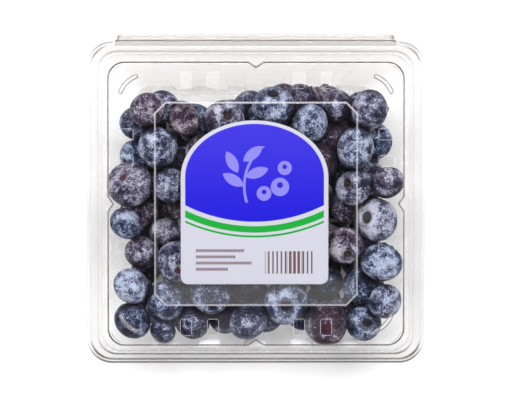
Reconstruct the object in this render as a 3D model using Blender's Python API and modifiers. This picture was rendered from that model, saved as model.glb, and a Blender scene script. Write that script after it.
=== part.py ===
"""Blueberry punnet: a thin clear clamshell box with a hinged lid, a label and a heap of berries.

The pack lies on its foot with the lid up. X runs along the hinge, Y from the front to the
hinge, Z up. Lengths below are in millimetres and become metres where meshes are made.
"""

import math
import random

import bmesh
import bpy
from mathutils import Matrix, Vector

MM = 0.001

# ---------------------------------------------------------------- driving dimensions, mm
SHEET = 0.5                # thickness of the formed plastic
CLEAR = 0.3                # gap between pieces that rest on each other

FLANGE_TOP = 28.5          # top of the tray's flange above the table
LID_FLANGE_TOP = FLANGE_TOP + CLEAR + SHEET
LID_HEIGHT = 12.0          # from the lid's flange up to its flat panel
LID_PANEL_TOP = LID_FLANGE_TOP + LID_HEIGHT

FLANGE_HALF_X = 58.2       # lid flange with its lip
FLANGE_HALF_Y = 55.4
FLANGE_CORNER = 8.6
LIP_OUT = 0.4              # the lip leans out at the front and sides
LIP_DOWN = 1.7
LIP_FLAT = 1.0             # and lies flat along the hinge
LIP_FADE_FROM = 38.0       # where along Y it starts to flatten
LIP_FADE_TO = 47.0
FRONT_BOW = 0.7            # the front flange bows inward at its middle

FOOT_HALF_X = 54.2         # foot of the lid's wall
FOOT_HALF_Y = 51.9
FOOT_CORNER = 6.6
BEAD_RISE = 2.2            # low step round the lid's wall
BEAD_LEAN = 0.3
LEDGE_WIDTH = 1.0
PANEL_HALF_X = 50.3        # border of the flat panel
PANEL_HALF_Y = 48.0
PANEL_CORNER = 7.0
PANEL_EDGE = 0.6           # small slope where the wall meets the panel
NOTCH_DEPTH = 1.7          # V dent in the middle of each side
NOTCH_MOUTH = 0.050        # where it starts and where it is deepest, as parts of half the run
NOTCH_FLOOR = 0.014
BOW_STATION = 0.55         # where the flange's bow is bent

LABEL_FIELD_HALF = 34.75   # raised eight-sided field that carries the label
LABEL_FIELD_CHAMFER = 4.0
LABEL_FIELD_RISE = 0.7
LABEL_FIELD_SLOPE = 0.7

VENT_WIDTH = 3.6
VENT_LENGTH = 5.4
VENT_ROW = 41.9            # distance of the vent rows from the middle, along Y
VENT_COLUMN = 44.4         # and of the vent columns, along X
VENT_OFFSETS_X = (14.6, 23.8)
VENT_OFFSETS_Y = (14.5, 23.6)
FLOOR_VENT_RING = 25.0     # vents in the tray's floor
CUT_BELOW = 3.0            # how far a vent's cutter reaches below and above the sheet
CUT_ABOVE = 2.0

LUG_MIDDLE = (43.8, 41.1)  # curved stacking lugs near the panel's corners
LUG_RADIUS = 9.0
LUG_WIDTH = 1.2
LUG_SPREAD = 24.0          # degrees to each side of the diagonal
LUG_RISE = 0.6
LUG_SINK = 0.3

TRAY_FLANGE_HALF_X = 56.8  # inside the lid's lip
TRAY_FLANGE_HALF_Y = 54.0
TRAY_FLANGE_CORNER = 7.4
MOUTH_HALF_X = 53.0        # where the tray's wall starts under the flange
MOUTH_HALF_Y = 50.7
RIB_TOP_HALF_X = 52.2
RIB_TOP_HALF_Y = 49.9
RIB_TOP_HEIGHT = 25.4
BASE_HALF_X = 45.0
BASE_HALF_Y = 42.7
BASE_HEIGHT = 1.5
SOLE_HALF_X = 43.8
SOLE_HALF_Y = 41.5
SOLE_WIDTH = 5.0
FLOOR_RISE = 2.0
WALL_CORNER = 6.4
RIBS_PER_SIDE = 5
RIB_PITCH = 0.345          # as parts of half the straight run
RIB_FOOT = 0.100
RIB_FACE = 0.072
RIB_DEPTH_TOP = 2.2        # ribs stand inward
RIB_DEPTH_BASE = 1.6

FOLD_Y = 57.4              # the hinge's fold line
FOLD_Z = FLANGE_TOP + CLEAR / 2
FOLD_RADIUS = 0.65
LEAF_HALF = 48.3           # half the hinge's length
LEAF_TAPER = 0.6

LABEL_HALF_X = 25.0
LABEL_LEFT_SHIFT = -0.5
LABEL_BOTTOM = -27.2
LABEL_SHOULDER = 9.0       # where the straight sides turn into the arched top
LABEL_ARCH = 19.3
LABEL_CORNER = 2.5
LABEL_THICKNESS = 0.2

BERRY_COUNT = 137
BERRY_SEED = 7
BERRY_SMALL = 11.0
BERRY_LARGE = 15.4
HEAP_FLOOR = 2.9
HEAP_CEILING = 40.2
HEAP_BACK = 41.2           # the heap has slid away from the hinge
HEAP_BACK_CORNER = 20.0
HEAP_BASE_HALF_X = 42.0    # clear half sizes at the foot of the heap
HEAP_BASE_HALF_Y = 39.7
HEAP_WIDEST = 51.4
HEAP_WALL_SLOPE = 0.276
HEAP_STEP = 1.0           # extra room above the ribs
HEAP_STEP_FROM = 26.0
HEAP_STEP_OVER = 4.0
HEAP_HOLLOW_X = -17.5     # the heap falls short of the wall here
HEAP_HOLLOW_HALF = 17.0
HEAP_HOLLOW_DEPTH = 6.0
HEAP_CORE_TOP = 28.0       # a plain core fills the heap's middle
HEAP_CORE_INSET = 5.0
HEAP_BRIDGE = 0.9          # the heap's skin bridges gaps of twice this
HEAP_SKIN = 1.4            # grain of the skin
HEAP_THINNING = 0.11       # part of its faces that are kept
POUR_TOP = 30.0            # lower berries start below this
POUR_STEPS = 160           # settling of the lower berries: steps and fall of the first step
POUR_FALL = 0.5
SINK_STEPS = 260           # the same once those on top are added
SINK_FALL = 0.3
REST_STEPS = 200           # at the end they only make room for each other
TOP_SLIP = 0.05            # how easily a berry on top is pushed sideways
HOMING = 0.10              # how strongly it is drawn back to its place, while sinking
REST_HOMING = 0.06         # and at rest
MIDDLE_ROWS = 4            # berries on top under the label: rows and berries in a row
MIDDLE_PITCH = 12.8
MIDDLE_Y = -1.5            # where the block of rows is centred
MIDDLE_JITTER = 1.6
MIDDLE_SLIP = 0.4

CORNER_STEPS = 5
FOLD_STEPS = 10

# ---------------------------- berries that lie on top: x, y, diameter, how far they sit down
TOP_BERRIES = (
    # left side, from the hinge to the front
    (-37.0, 31.8, 12.2, 0.0), (-33.4, 18.4, 14.6, 0.0), (-42.4, 5.3, 15.8, 0.0),
    (-29.7, 6.3, 12.0, 3.0), (-43.5, -7.3, 11.6, 5.0), (-37.8, -16.3, 12.0, 5.0),
    (-28.3, -21.8, 14.8, 0.0), (-41.8, -28.6, 12.8, 0.0), (-42.4, -40.6, 13.2, 4.0),
    # right side
    (36.5, 31.6, 13.8, 0.0), (34.0, 19.6, 14.6, 0.0), (44.0, 6.5, 11.8, 2.0),
    (34.2, 5.3, 12.2, 0.5), (41.4, -5.6, 14.8, 0.0), (31.2, -14.6, 13.0, 1.0),
    (42.4, -21.0, 14.6, 0.0), (43.4, -34.0, 12.2, 2.0), (35.9, -41.6, 12.2, 6.0),
    # along the hinge side
    (-24.2, 28.4, 11.4, 0.0), (-10.3, 29.6, 14.0, 0.0), (6.3, 32.9, 14.4, 0.0),
    (20.2, 27.6, 13.6, 0.0), (28.0, 31.6, 11.4, 8.0),
    # along the front
    (-30.6, -34.6, 13.4, 7.0), (-17.0, -32.6, 15.2, 0.0), (-20.6, -43.2, 12.2, 5.0),
    (-2.6, -40.6, 13.6, 1.0), (10.0, -34.1, 15.4, 0.0), (26.2, -42.8, 15.0, 2.0),
    (-31.5, -45.0, 9.0, 6.0),
)


# ---------------------------------------------------------------- small helpers
def clear_scene():
    for item in list(bpy.data.objects):
        bpy.data.objects.remove(item, do_unlink=True)


def new_collection(name):
    collection = bpy.data.collections.new(name)
    bpy.context.scene.collection.children.link(collection)
    return collection


def plain_material(name, colour, roughness):
    material = bpy.data.materials.new(name)
    material.use_nodes = True
    shader = material.node_tree.nodes["Principled BSDF"]
    shader.inputs["Base Color"].default_value = (*colour, 1.0)
    shader.inputs["Roughness"].default_value = roughness
    shader.inputs["Metallic"].default_value = 0.0
    return material


def object_from_bmesh(name, mesh_data, collection, scale=MM):
    bmesh.ops.scale(mesh_data, vec=(scale, scale, scale), verts=mesh_data.verts)
    mesh = bpy.data.meshes.new(name)
    mesh_data.to_mesh(mesh)
    mesh_data.free()
    item = bpy.data.objects.new(name, mesh)
    collection.objects.link(item)
    return item


def smooth_step(value, start, end):
    part = min(max((value - start) / (end - start), 0.0), 1.0)
    return part * part * (3.0 - 2.0 * part)


# ---------------------------------------------------------------- outlines and lofts
def outline(half_x, half_y, corner, stations, chamfered=False):
    """Points of a rounded rectangle, anticlockwise from the front side.

    Each entry is (point, outward direction, side, station). Stations are parts of half the
    straight run; corner points have no station. Sides are 0 front, 1 right, 2 back, 3 left.
    """
    entries = []
    for side in range(4):
        turn = Matrix.Rotation(math.radians(90.0 * side), 2)
        along = turn @ Vector((1.0, 0.0))
        outward = turn @ Vector((0.0, -1.0))
        reach, length = (half_y, half_x) if side % 2 == 0 else (half_x, half_y)
        run = length - corner
        for station in stations[side]:
            entries.append((outward * reach + along * run * station, outward, side, station))
        centre = outward * (reach - corner) + along * run
        for step in range(CORNER_STEPS + 1):
            part = step / CORNER_STEPS
            angle = math.radians(90.0 * part)
            direction = outward * math.cos(angle) + along * math.sin(angle)
            arm = outward * (1.0 - part) + along * part if chamfered else direction
            entries.append((centre + arm * corner, direction, side, None))
    return entries


def level_ring(entries, height):
    return [Vector((point.x, point.y, height)) for point, _, _, _ in entries]


def loft(name, rings, collection):
    """Joins rings of equal length by quads, from the outside in, and fills the last one."""
    mesh_data = bmesh.new()
    loops = [[mesh_data.verts.new(point) for point in ring] for ring in rings]
    count = len(loops[0])
    for outer, inner in zip(loops, loops[1:]):
        for index in range(count):
            after = (index + 1) % count
            mesh_data.faces.new((outer[index], outer[after], inner[after], inner[index]))
    mesh_data.faces.new(loops[-1])
    return object_from_bmesh(name, mesh_data, collection)


def add_solidify(item, offset):
    modifier = item.modifiers.new("sheet", "SOLIDIFY")
    modifier.thickness = SHEET * MM
    modifier.offset = offset
    modifier.use_even_offset = True


def add_boolean(item, other, operation):
    modifier = item.modifiers.new(operation.lower(), "BOOLEAN")
    modifier.operation = operation
    modifier.solver = "EXACT"
    modifier.object = other


def plate(name, points, bottom, top, collection):
    """A flat plate: a closed outline of (x, y) points between two heights."""
    curve = bpy.data.curves.new(name, "CURVE")
    curve.dimensions = "2D"
    curve.fill_mode = "BOTH"
    curve.extrude = (top - bottom) / 2 * MM
    spline = curve.splines.new("POLY")
    spline.points.add(len(points) - 1)
    for target, (x, y) in zip(spline.points, points):
        target.co = (x * MM, y * MM, 0.0, 1.0)
    spline.use_cyclic_u = True
    shape = bpy.data.objects.new(name + "_outline", curve)
    shape.location.z = (bottom + top) / 2 * MM
    collection.objects.link(shape)
    bpy.context.view_layer.update()
    graph = bpy.context.evaluated_depsgraph_get()
    mesh = bpy.data.meshes.new_from_object(shape.evaluated_get(graph))
    mesh.transform(shape.matrix_world)
    mesh_data = bmesh.new()
    mesh_data.from_mesh(mesh)
    bmesh.ops.remove_doubles(mesh_data, verts=mesh_data.verts, dist=0.00001)
    bmesh.ops.recalc_face_normals(mesh_data, faces=mesh_data.faces)
    bpy.data.objects.remove(shape, do_unlink=True)
    bpy.data.meshes.remove(mesh)
    return object_from_bmesh(name, mesh_data, collection, scale=1.0)


def boxes(name, places, bottom, top, collection):
    """One cutter of upright boxes; a place is (x, y, size along x, size along y)."""
    mesh_data = bmesh.new()
    for x, y, size_x, size_y in places:
        matrix = Matrix.Translation((x, y, (bottom + top) / 2))
        matrix = matrix @ Matrix.Diagonal((size_x, size_y, top - bottom, 1.0))
        bmesh.ops.create_cube(mesh_data, size=1.0, matrix=matrix)
    return object_from_bmesh(name, mesh_data, collection)


def as_guide(item):
    item.hide_render = True
    item.display_type = "WIRE"
    return item


def arc(centre, radius, start, end, steps):
    """Points on an arc, angles in degrees."""
    points = []
    for step in range(steps + 1):
        angle = math.radians(start + (end - start) * step / steps)
        points.append((centre[0] + radius * math.cos(angle),
                       centre[1] + radius * math.sin(angle)))
    return points


# ---------------------------------------------------------------- the tray
def rib_stations():
    """Where each rib's feet and face meet the wall, with 0 at a foot and 1 on the face."""
    stations = []
    for number in range(RIBS_PER_SIDE):
        middle = (number - (RIBS_PER_SIDE - 1) / 2) * RIB_PITCH
        stations.append((middle - RIB_FOOT, 0.0))
        stations.append((middle - RIB_FACE, 1.0))
        stations.append((middle + RIB_FACE, 1.0))
        stations.append((middle + RIB_FOOT, 0.0))
    return stations


def make_tray(collection, cutters):
    ribs = rib_stations()
    stations = [[place for place, _ in ribs]] * 4
    inward = dict(ribs)

    def wall_ring(half_x, half_y, corner, height, depth=0.0):
        ring = []
        for point, outward, _, station in outline(half_x, half_y, corner, stations):
            push = depth * inward.get(station, 0.0)
            place = point - outward * push
            ring.append(Vector((place.x, place.y, height)))
        return ring

    under_flange = FLANGE_TOP - SHEET
    rings = [
        wall_ring(TRAY_FLANGE_HALF_X, TRAY_FLANGE_HALF_Y, TRAY_FLANGE_CORNER, under_flange),
        wall_ring(MOUTH_HALF_X, MOUTH_HALF_Y, WALL_CORNER, under_flange),
        wall_ring(RIB_TOP_HALF_X, RIB_TOP_HALF_Y, WALL_CORNER, RIB_TOP_HEIGHT, RIB_DEPTH_TOP),
        wall_ring(BASE_HALF_X, BASE_HALF_Y, WALL_CORNER, BASE_HEIGHT, RIB_DEPTH_BASE),
        wall_ring(SOLE_HALF_X, SOLE_HALF_Y, WALL_CORNER, 0.0, RIB_DEPTH_BASE),
        wall_ring(SOLE_HALF_X - SOLE_WIDTH, SOLE_HALF_Y - SOLE_WIDTH, WALL_CORNER, 0.0),
        wall_ring(SOLE_HALF_X - SOLE_WIDTH - FLOOR_RISE, SOLE_HALF_Y - SOLE_WIDTH - FLOOR_RISE,
                  WALL_CORNER, FLOOR_RISE),
    ]
    tray = loft("tray", rings, collection)
    add_solidify(tray, offset=1.0)

    places = []
    for side_x in (-1, 1):
        for side_y in (-1, 1):
            places.append((side_x * FLOOR_VENT_RING, side_y * FLOOR_VENT_RING / 2,
                           VENT_LENGTH, VENT_WIDTH))
            places.append((side_x * FLOOR_VENT_RING / 2, side_y * FLOOR_VENT_RING,
                           VENT_WIDTH, VENT_LENGTH))
    floor_vents = boxes("floor_vents", places, FLOOR_RISE - CUT_BELOW, FLOOR_RISE + CUT_ABOVE,
                        cutters)
    add_boolean(tray, as_guide(floor_vents), "DIFFERENCE")
    return tray


def make_hinge_fold(collection):
    """The folded strip behind the tray's flange: a flat leaf that ends in a round bead."""
    leaf_start = TRAY_FLANGE_HALF_Y + CLEAR
    leaf_low = FLANGE_TOP - SHEET
    sink = FOLD_Z - FLANGE_TOP
    meet = math.degrees(math.asin(sink / FOLD_RADIUS))
    section = [(leaf_start, leaf_low)]
    section += arc((FOLD_Y, FOLD_Z), FOLD_RADIUS, -90.0, 180.0 + meet, FOLD_STEPS)
    section.append((leaf_start, FLANGE_TOP))
    fold = plate("hinge_fold", section, -LEAF_HALF, LEAF_HALF, collection)
    # the plate stands on its own XY plane: turn it so that the section lies across the hinge
    turn = Matrix(((0.0, 0.0, 1.0, 0.0), (1.0, 0.0, 0.0, 0.0),
                   (0.0, 1.0, 0.0, 0.0), (0.0, 0.0, 0.0, 1.0)))
    fold.data.transform(turn)
    return fold


# ---------------------------------------------------------------- the lid
def lid_stations():
    """Stations of each side: bow points and the V notch; the hinge side adds the leaf's ends."""
    half = [NOTCH_FLOOR, NOTCH_MOUTH, BOW_STATION]
    plain = [-place for place in reversed(half)] + half
    leaf_end = LEAF_HALF / (FLANGE_HALF_X - FLANGE_CORNER)
    leaf_start = (LEAF_HALF + LEAF_TAPER) / (FLANGE_HALF_X - FLANGE_CORNER)
    hinge = [-leaf_start, -leaf_end] + plain + [leaf_end, leaf_start]
    return [plain, plain, hinge, plain], leaf_end


def flange_rings(stations, leaf_end):
    """The edge of the lid's flange and the bend of its lip.

    The lip hangs down at the front and sides, and flattens into the hinge's leaf at the back.
    """
    leaf_reach = FOLD_Y - FOLD_RADIUS - CLEAR - FLANGE_HALF_Y
    edge, rim = [], []
    for point, outward, side, station in outline(FLANGE_HALF_X, FLANGE_HALF_Y,
                                                 FLANGE_CORNER, stations):
        flat = smooth_step(point.y, LIP_FADE_FROM, LIP_FADE_TO)
        bow = 0.0
        if side == 0 and station is not None:
            bow = FRONT_BOW * (1.0 - station * station)
        tip = point - outward * bow
        bend = tip - outward * (LIP_OUT + (LIP_FLAT - LIP_OUT) * flat)
        if side == 2 and station is not None and abs(station) <= leaf_end:
            tip = tip + outward * leaf_reach
        drop = LIP_DOWN * (1.0 - flat)
        edge.append(Vector((tip.x, tip.y, LID_FLANGE_TOP - drop)))
        rim.append(Vector((bend.x, bend.y, LID_FLANGE_TOP)))
    return edge, rim


def notched_ring(half_x, half_y, corner, stations, height):
    ring = []
    for point, outward, _, station in outline(half_x, half_y, corner, stations):
        dent = 0.0
        if station is not None and abs(station) < NOTCH_MOUTH:
            dent = NOTCH_DEPTH
        place = point - outward * dent
        ring.append(Vector((place.x, place.y, height)))
    return ring


def lug_outline(side_x, side_y):
    """A curved bar with round ends, bent round the panel's corner."""
    reach = LUG_RADIUS / math.sqrt(2.0)
    centre = (side_x * (LUG_MIDDLE[0] - reach), side_y * (LUG_MIDDLE[1] - reach))
    diagonal = math.degrees(math.atan2(side_y, side_x))
    half = LUG_WIDTH / 2
    first, last = diagonal - LUG_SPREAD, diagonal + LUG_SPREAD
    points = arc(centre, LUG_RADIUS + half, first, last, 6)
    tip = arc(centre, LUG_RADIUS, last, last, 1)[0]
    points += arc(tip, half, last, last + 180.0, 4)[1:-1]
    points += arc(centre, LUG_RADIUS - half, last, first, 6)
    tip = arc(centre, LUG_RADIUS, first, first, 1)[0]
    points += arc(tip, half, first + 180.0, first + 360.0, 4)[1:-1]
    return points


def vent_places():
    places = []
    for side_x in (-1, 1):
        for side_y in (-1, 1):
            for offset in VENT_OFFSETS_X:
                places.append((side_x * offset, side_y * VENT_ROW, VENT_WIDTH, VENT_LENGTH))
            for offset in VENT_OFFSETS_Y:
                places.append((side_x * VENT_COLUMN, side_y * offset, VENT_LENGTH, VENT_WIDTH))
    return places


def make_lid(collection, cutters):
    stations, leaf_end = lid_stations()
    edge, rim = flange_rings(stations, leaf_end)
    bead_x, bead_y = FOOT_HALF_X - BEAD_LEAN, FOOT_HALF_Y - BEAD_LEAN
    bead_height = LID_FLANGE_TOP + BEAD_RISE
    wall_top = LID_PANEL_TOP - PANEL_EDGE
    field_inner = LABEL_FIELD_HALF - LABEL_FIELD_SLOPE

    def ring(half_x, half_y, corner, height, chamfered=False):
        return level_ring(outline(half_x, half_y, corner, stations, chamfered), height)

    rings = [
        edge,
        rim,
        ring(FOOT_HALF_X, FOOT_HALF_Y, FOOT_CORNER, LID_FLANGE_TOP),
        ring(bead_x, bead_y, FOOT_CORNER, bead_height),
        ring(bead_x - LEDGE_WIDTH, bead_y - LEDGE_WIDTH, FOOT_CORNER, bead_height),
        notched_ring(PANEL_HALF_X + PANEL_EDGE, PANEL_HALF_Y + PANEL_EDGE, PANEL_CORNER,
                     stations, wall_top),
        notched_ring(PANEL_HALF_X, PANEL_HALF_Y, PANEL_CORNER, stations, LID_PANEL_TOP),
        ring(LABEL_FIELD_HALF, LABEL_FIELD_HALF, LABEL_FIELD_CHAMFER, LID_PANEL_TOP, True),
        ring(field_inner, field_inner, LABEL_FIELD_CHAMFER, LID_PANEL_TOP + LABEL_FIELD_RISE,
             True),
    ]
    lid = loft("lid", rings, collection)
    add_solidify(lid, offset=-1.0)

    vents = boxes("lid_vents", vent_places(), LID_PANEL_TOP - CUT_BELOW,
                  LID_PANEL_TOP + CUT_ABOVE, cutters)
    add_boolean(lid, as_guide(vents), "DIFFERENCE")
    for side_x in (-1, 1):
        for side_y in (-1, 1):
            name = "lug_{}_{}".format(side_x + 1, side_y + 1)
            lug = plate(name, lug_outline(side_x, side_y), LID_PANEL_TOP - LUG_SINK,
                        LID_PANEL_TOP + LUG_RISE, cutters)
            add_boolean(lid, as_guide(lug), "UNION")
    return lid


def make_label(collection):
    left = LABEL_LEFT_SHIFT - LABEL_HALF_X
    right = LABEL_LEFT_SHIFT + LABEL_HALF_X
    points = arc((right - LABEL_CORNER, LABEL_BOTTOM + LABEL_CORNER), LABEL_CORNER,
                 -90.0, 0.0, 4)
    for x, y in arc((0.0, 0.0), 1.0, 0.0, 180.0, 18):
        points.append((LABEL_LEFT_SHIFT + LABEL_HALF_X * x, LABEL_SHOULDER + LABEL_ARCH * y))
    points += arc((left + LABEL_CORNER, LABEL_BOTTOM + LABEL_CORNER), LABEL_CORNER,
                  180.0, 270.0, 4)
    bottom = LID_PANEL_TOP + LABEL_FIELD_RISE + CLEAR
    return plate("label", points, bottom, bottom + LABEL_THICKNESS, collection)


# ---------------------------------------------------------------- the berries
def heap_limits(height):
    """Clear half sizes of the pack at a height."""
    step = min(max((height - HEAP_STEP_FROM) / HEAP_STEP_OVER, 0.0), 1.0)
    widen = HEAP_WALL_SLOPE * height + HEAP_STEP * step
    half_x = min(HEAP_BASE_HALF_X + widen, HEAP_WIDEST)
    half_y = min(HEAP_BASE_HALF_Y + widen, HEAP_WIDEST - (HEAP_BASE_HALF_X - HEAP_BASE_HALF_Y))
    return half_x, half_y


def keep_inside(berry):
    """Moves a berry back inside the tray, the lid and the edge of the heap."""
    radius = berry["radius"]
    side = radius / math.cos(math.atan(HEAP_WALL_SLOPE))
    berry["z"] = min(max(berry["z"], HEAP_FLOOR + radius), HEAP_CEILING - radius)
    half_x, half_y = heap_limits(berry["z"])
    berry["x"] = min(max(berry["x"], side - half_x), half_x - side)
    berry["y"] = max(berry["y"], side - half_y)
    hollow = max(1.0 - ((berry["x"] - HEAP_HOLLOW_X) / HEAP_HOLLOW_HALF) ** 4, 0.0)
    back = HEAP_BACK - HEAP_HOLLOW_DEPTH * hollow
    berry["y"] = min(berry["y"], back - radius, half_y - side)
    # rounded back corners of the heap
    corner_x = abs(berry["x"]) - (half_x - HEAP_BACK_CORNER)
    corner_y = berry["y"] - (HEAP_BACK - HEAP_BACK_CORNER)
    distance = math.hypot(max(corner_x, 0.0), max(corner_y, 0.0))
    excess = distance + radius - HEAP_BACK_CORNER
    if corner_x > 0.0 and corner_y > 0.0 and excess > 0.0:
        berry["x"] -= math.copysign(excess * corner_x / distance, berry["x"])
        berry["y"] -= excess * corner_y / distance


def push_apart(berries):
    """Shares out each overlap of two berries; those on top give way only a little sideways."""
    for index, one in enumerate(berries):
        for other in berries[index + 1:]:
            room = one["radius"] + other["radius"]
            dz = other["z"] - one["z"]
            if abs(dz) >= room:
                continue
            dx = other["x"] - one["x"]
            dy = other["y"] - one["y"]
            distance = math.sqrt(dx * dx + dy * dy + dz * dz)
            if distance >= room or distance == 0.0:
                continue
            overlap = (room - distance) / distance
            total = one["slip"] + other["slip"]
            share_one = overlap * one["slip"] / total
            share_other = overlap * other["slip"] / total
            one["x"] -= dx * share_one
            one["y"] -= dy * share_one
            other["x"] += dx * share_other
            other["y"] += dy * share_other
            one["z"] -= dz * overlap / 2
            other["z"] += dz * overlap / 2


def settle(berries, steps, fall, homing):
    """Lets the berries sink; the pull fades, and those on top are drawn back to their places."""
    for step in range(steps):
        pull = fall * (1.0 - step / steps)
        for berry in berries:
            berry["z"] -= pull
            for axis, home in zip("xyz", berry["home"]):
                berry[axis] += homing * (home - berry[axis])
        push_apart(berries)
        for berry in berries:
            keep_inside(berry)


def top_berry(x, y, size, drop, slip):
    """A berry whose top is drawn to a place so far below the heap's ceiling."""
    z = HEAP_CEILING - size / 2 - drop
    return {"x": x, "y": y, "z": z, "radius": size / 2, "slip": slip, "home": (x, y, z)}


def middle_berries(chance):
    """The berries on top under the label, in uneven rows."""
    berries = []
    centre = (MIDDLE_ROWS - 1) / 2
    for row in range(MIDDLE_ROWS):
        for number in range(MIDDLE_ROWS):
            x = (number - centre) * MIDDLE_PITCH + chance.uniform(-MIDDLE_JITTER, MIDDLE_JITTER)
            y = (row - centre) * MIDDLE_PITCH + chance.uniform(-MIDDLE_JITTER, MIDDLE_JITTER)
            size = chance.uniform(BERRY_SMALL, BERRY_LARGE)
            berries.append(top_berry(x, y + MIDDLE_Y, size, 0.0, MIDDLE_SLIP))
    return berries


def pack_berries():
    """Pours the lower berries, then lets those on top sink in among them."""
    chance = random.Random(BERRY_SEED)
    top = [top_berry(x, y, size, drop, TOP_SLIP) for x, y, size, drop in TOP_BERRIES]
    top += middle_berries(chance)
    berries = []
    while len(berries) < BERRY_COUNT - len(top):
        size = chance.uniform(BERRY_SMALL, BERRY_LARGE)
        berries.append({"x": chance.uniform(-HEAP_BASE_HALF_X, HEAP_BASE_HALF_X),
                        "y": chance.uniform(-HEAP_BASE_HALF_Y, HEAP_BASE_HALF_Y),
                        "z": chance.uniform(HEAP_FLOOR, POUR_TOP),
                        "radius": size / 2, "slip": 1.0, "home": ()})
    settle(berries, POUR_STEPS, POUR_FALL, HOMING)
    berries += top
    settle(berries, SINK_STEPS, SINK_FALL, HOMING)
    settle(berries, REST_STEPS, 0.0, REST_HOMING)
    return berries


def add_skin(item, name):
    modifier = item.modifiers.new(name, "REMESH")
    modifier.mode = "VOXEL"
    modifier.voxel_size = HEAP_SKIN * MM


def make_berries(collection):
    """The whole heap as one solid: the packed berries over a plain core, skinned together."""
    mesh_data = bmesh.new()
    for berry in pack_berries():
        place = Matrix.Translation((berry["x"], berry["y"], berry["z"]))
        bmesh.ops.create_icosphere(mesh_data, subdivisions=2,
                                   radius=berry["radius"] + HEAP_BRIDGE, matrix=place)
    core_x = 2.0 * (HEAP_BASE_HALF_X - HEAP_CORE_INSET)
    core_y = HEAP_BACK + HEAP_BASE_HALF_Y - 2.0 * HEAP_CORE_INSET
    middle_y = (HEAP_BACK - HEAP_BASE_HALF_Y) / 2
    matrix = Matrix.Translation((0.0, middle_y, (HEAP_FLOOR + HEAP_CORE_TOP) / 2))
    matrix = matrix @ Matrix.Diagonal((core_x, core_y, HEAP_CORE_TOP - HEAP_FLOOR, 1.0))
    bmesh.ops.create_cube(mesh_data, size=1.0, matrix=matrix)
    heap = object_from_bmesh("berries", mesh_data, collection)
    # swollen berries melt into one skin, which then draws back to their true size
    add_skin(heap, "melt")
    shrink = heap.modifiers.new("shrink", "DISPLACE")
    shrink.mid_level = 0.0
    shrink.strength = -HEAP_BRIDGE * MM
    add_skin(heap, "even")
    thin = heap.modifiers.new("thin", "DECIMATE")
    thin.ratio = HEAP_THINNING
    return heap


# ---------------------------------------------------------------- assembly
def give_origin(item, point):
    """Moves an object's origin without moving its shape."""
    place = Vector(point) * MM
    item.data.transform(Matrix.Translation(-place))
    item.location = place


def main():
    clear_scene()
    collection = new_collection("blueberry_punnet")
    cutters = new_collection("cutters")

    tray = make_tray(collection, cutters)
    fold = make_hinge_fold(collection)
    lid = make_lid(collection, cutters)
    label = make_label(collection)
    berries = make_berries(collection)

    # the lid and its label turn about the fold line
    for item in (lid, label):
        give_origin(item, (0.0, FOLD_Y, FOLD_Z))
    # the hinge makes the pack longer at the back, so the whole is centred on its footprint
    centre = bpy.data.objects.new("pack_centre", None)
    centre.location.y = (FLANGE_HALF_Y - FOLD_Y - FOLD_RADIUS) / 2 * MM
    collection.objects.link(centre)
    for item in list(collection.objects) + list(cutters.objects):
        if item != centre:
            item.parent = centre

    clear_plastic = plain_material("clear_plastic", (0.86, 0.88, 0.88), 0.08)
    label_paper = plain_material("label_paper", (0.80, 0.80, 0.86), 0.45)
    berry_skin = plain_material("berry_skin", (0.035, 0.045, 0.11), 0.55)
    for item, material in ((tray, clear_plastic), (fold, clear_plastic), (lid, clear_plastic),
                           (label, label_paper), (berries, berry_skin)):
        item.data.materials.clear()
        item.data.materials.append(material)


main()
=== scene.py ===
# %% [markdown]
# # A punnet of blueberries
# A clear plastic clamshell lies on a pale table with its lid shut. Inside is a heap of
# 137 blueberries, and a printed sticker lies on the lid. The solid model gives the
# sizes and the bodies that move. This script adds what the eye looks for: thin clear
# sheet with soft bends, real fruit with bloom and crowns, and paper with print.
#
# The frame is loaded first, and its parts are kept.

# %% Load the frame
import math
import random
from collections import namedtuple
from functools import reduce

import bmesh
import bpy
import numpy as np
from mathutils import Matrix, Vector
from mathutils.geometry import delaunay_2d_cdt


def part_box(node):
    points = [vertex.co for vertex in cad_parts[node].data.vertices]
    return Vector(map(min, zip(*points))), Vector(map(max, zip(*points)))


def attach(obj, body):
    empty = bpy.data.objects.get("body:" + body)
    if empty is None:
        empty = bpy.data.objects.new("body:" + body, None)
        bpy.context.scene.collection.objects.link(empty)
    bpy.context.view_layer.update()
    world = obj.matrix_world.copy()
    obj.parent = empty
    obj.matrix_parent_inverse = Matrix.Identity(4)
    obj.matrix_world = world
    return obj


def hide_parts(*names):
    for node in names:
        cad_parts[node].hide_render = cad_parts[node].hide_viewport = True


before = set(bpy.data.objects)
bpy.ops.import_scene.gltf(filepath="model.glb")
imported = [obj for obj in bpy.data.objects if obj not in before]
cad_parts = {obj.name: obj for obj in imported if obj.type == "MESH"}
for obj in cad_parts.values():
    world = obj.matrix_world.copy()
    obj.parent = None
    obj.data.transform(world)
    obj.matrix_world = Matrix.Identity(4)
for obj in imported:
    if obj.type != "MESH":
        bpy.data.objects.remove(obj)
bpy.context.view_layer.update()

MM = 0.001
FLANGE_HALF_X, FLANGE_HALF_Y, FLANGE_CORNER = 58.2, 55.4, 8.6    # the lid's outer edge
SHIFT_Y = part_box("lid")[0].y / MM + FLANGE_HALF_Y
print("the pack's middle lies at y = {:.3f} mm".format(SHIFT_Y))

# %% [markdown]
# ## Making a mesh piece
# Lengths are in millimetres, in the pack's own middle, because a clamshell is drawn that
# way.

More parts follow.
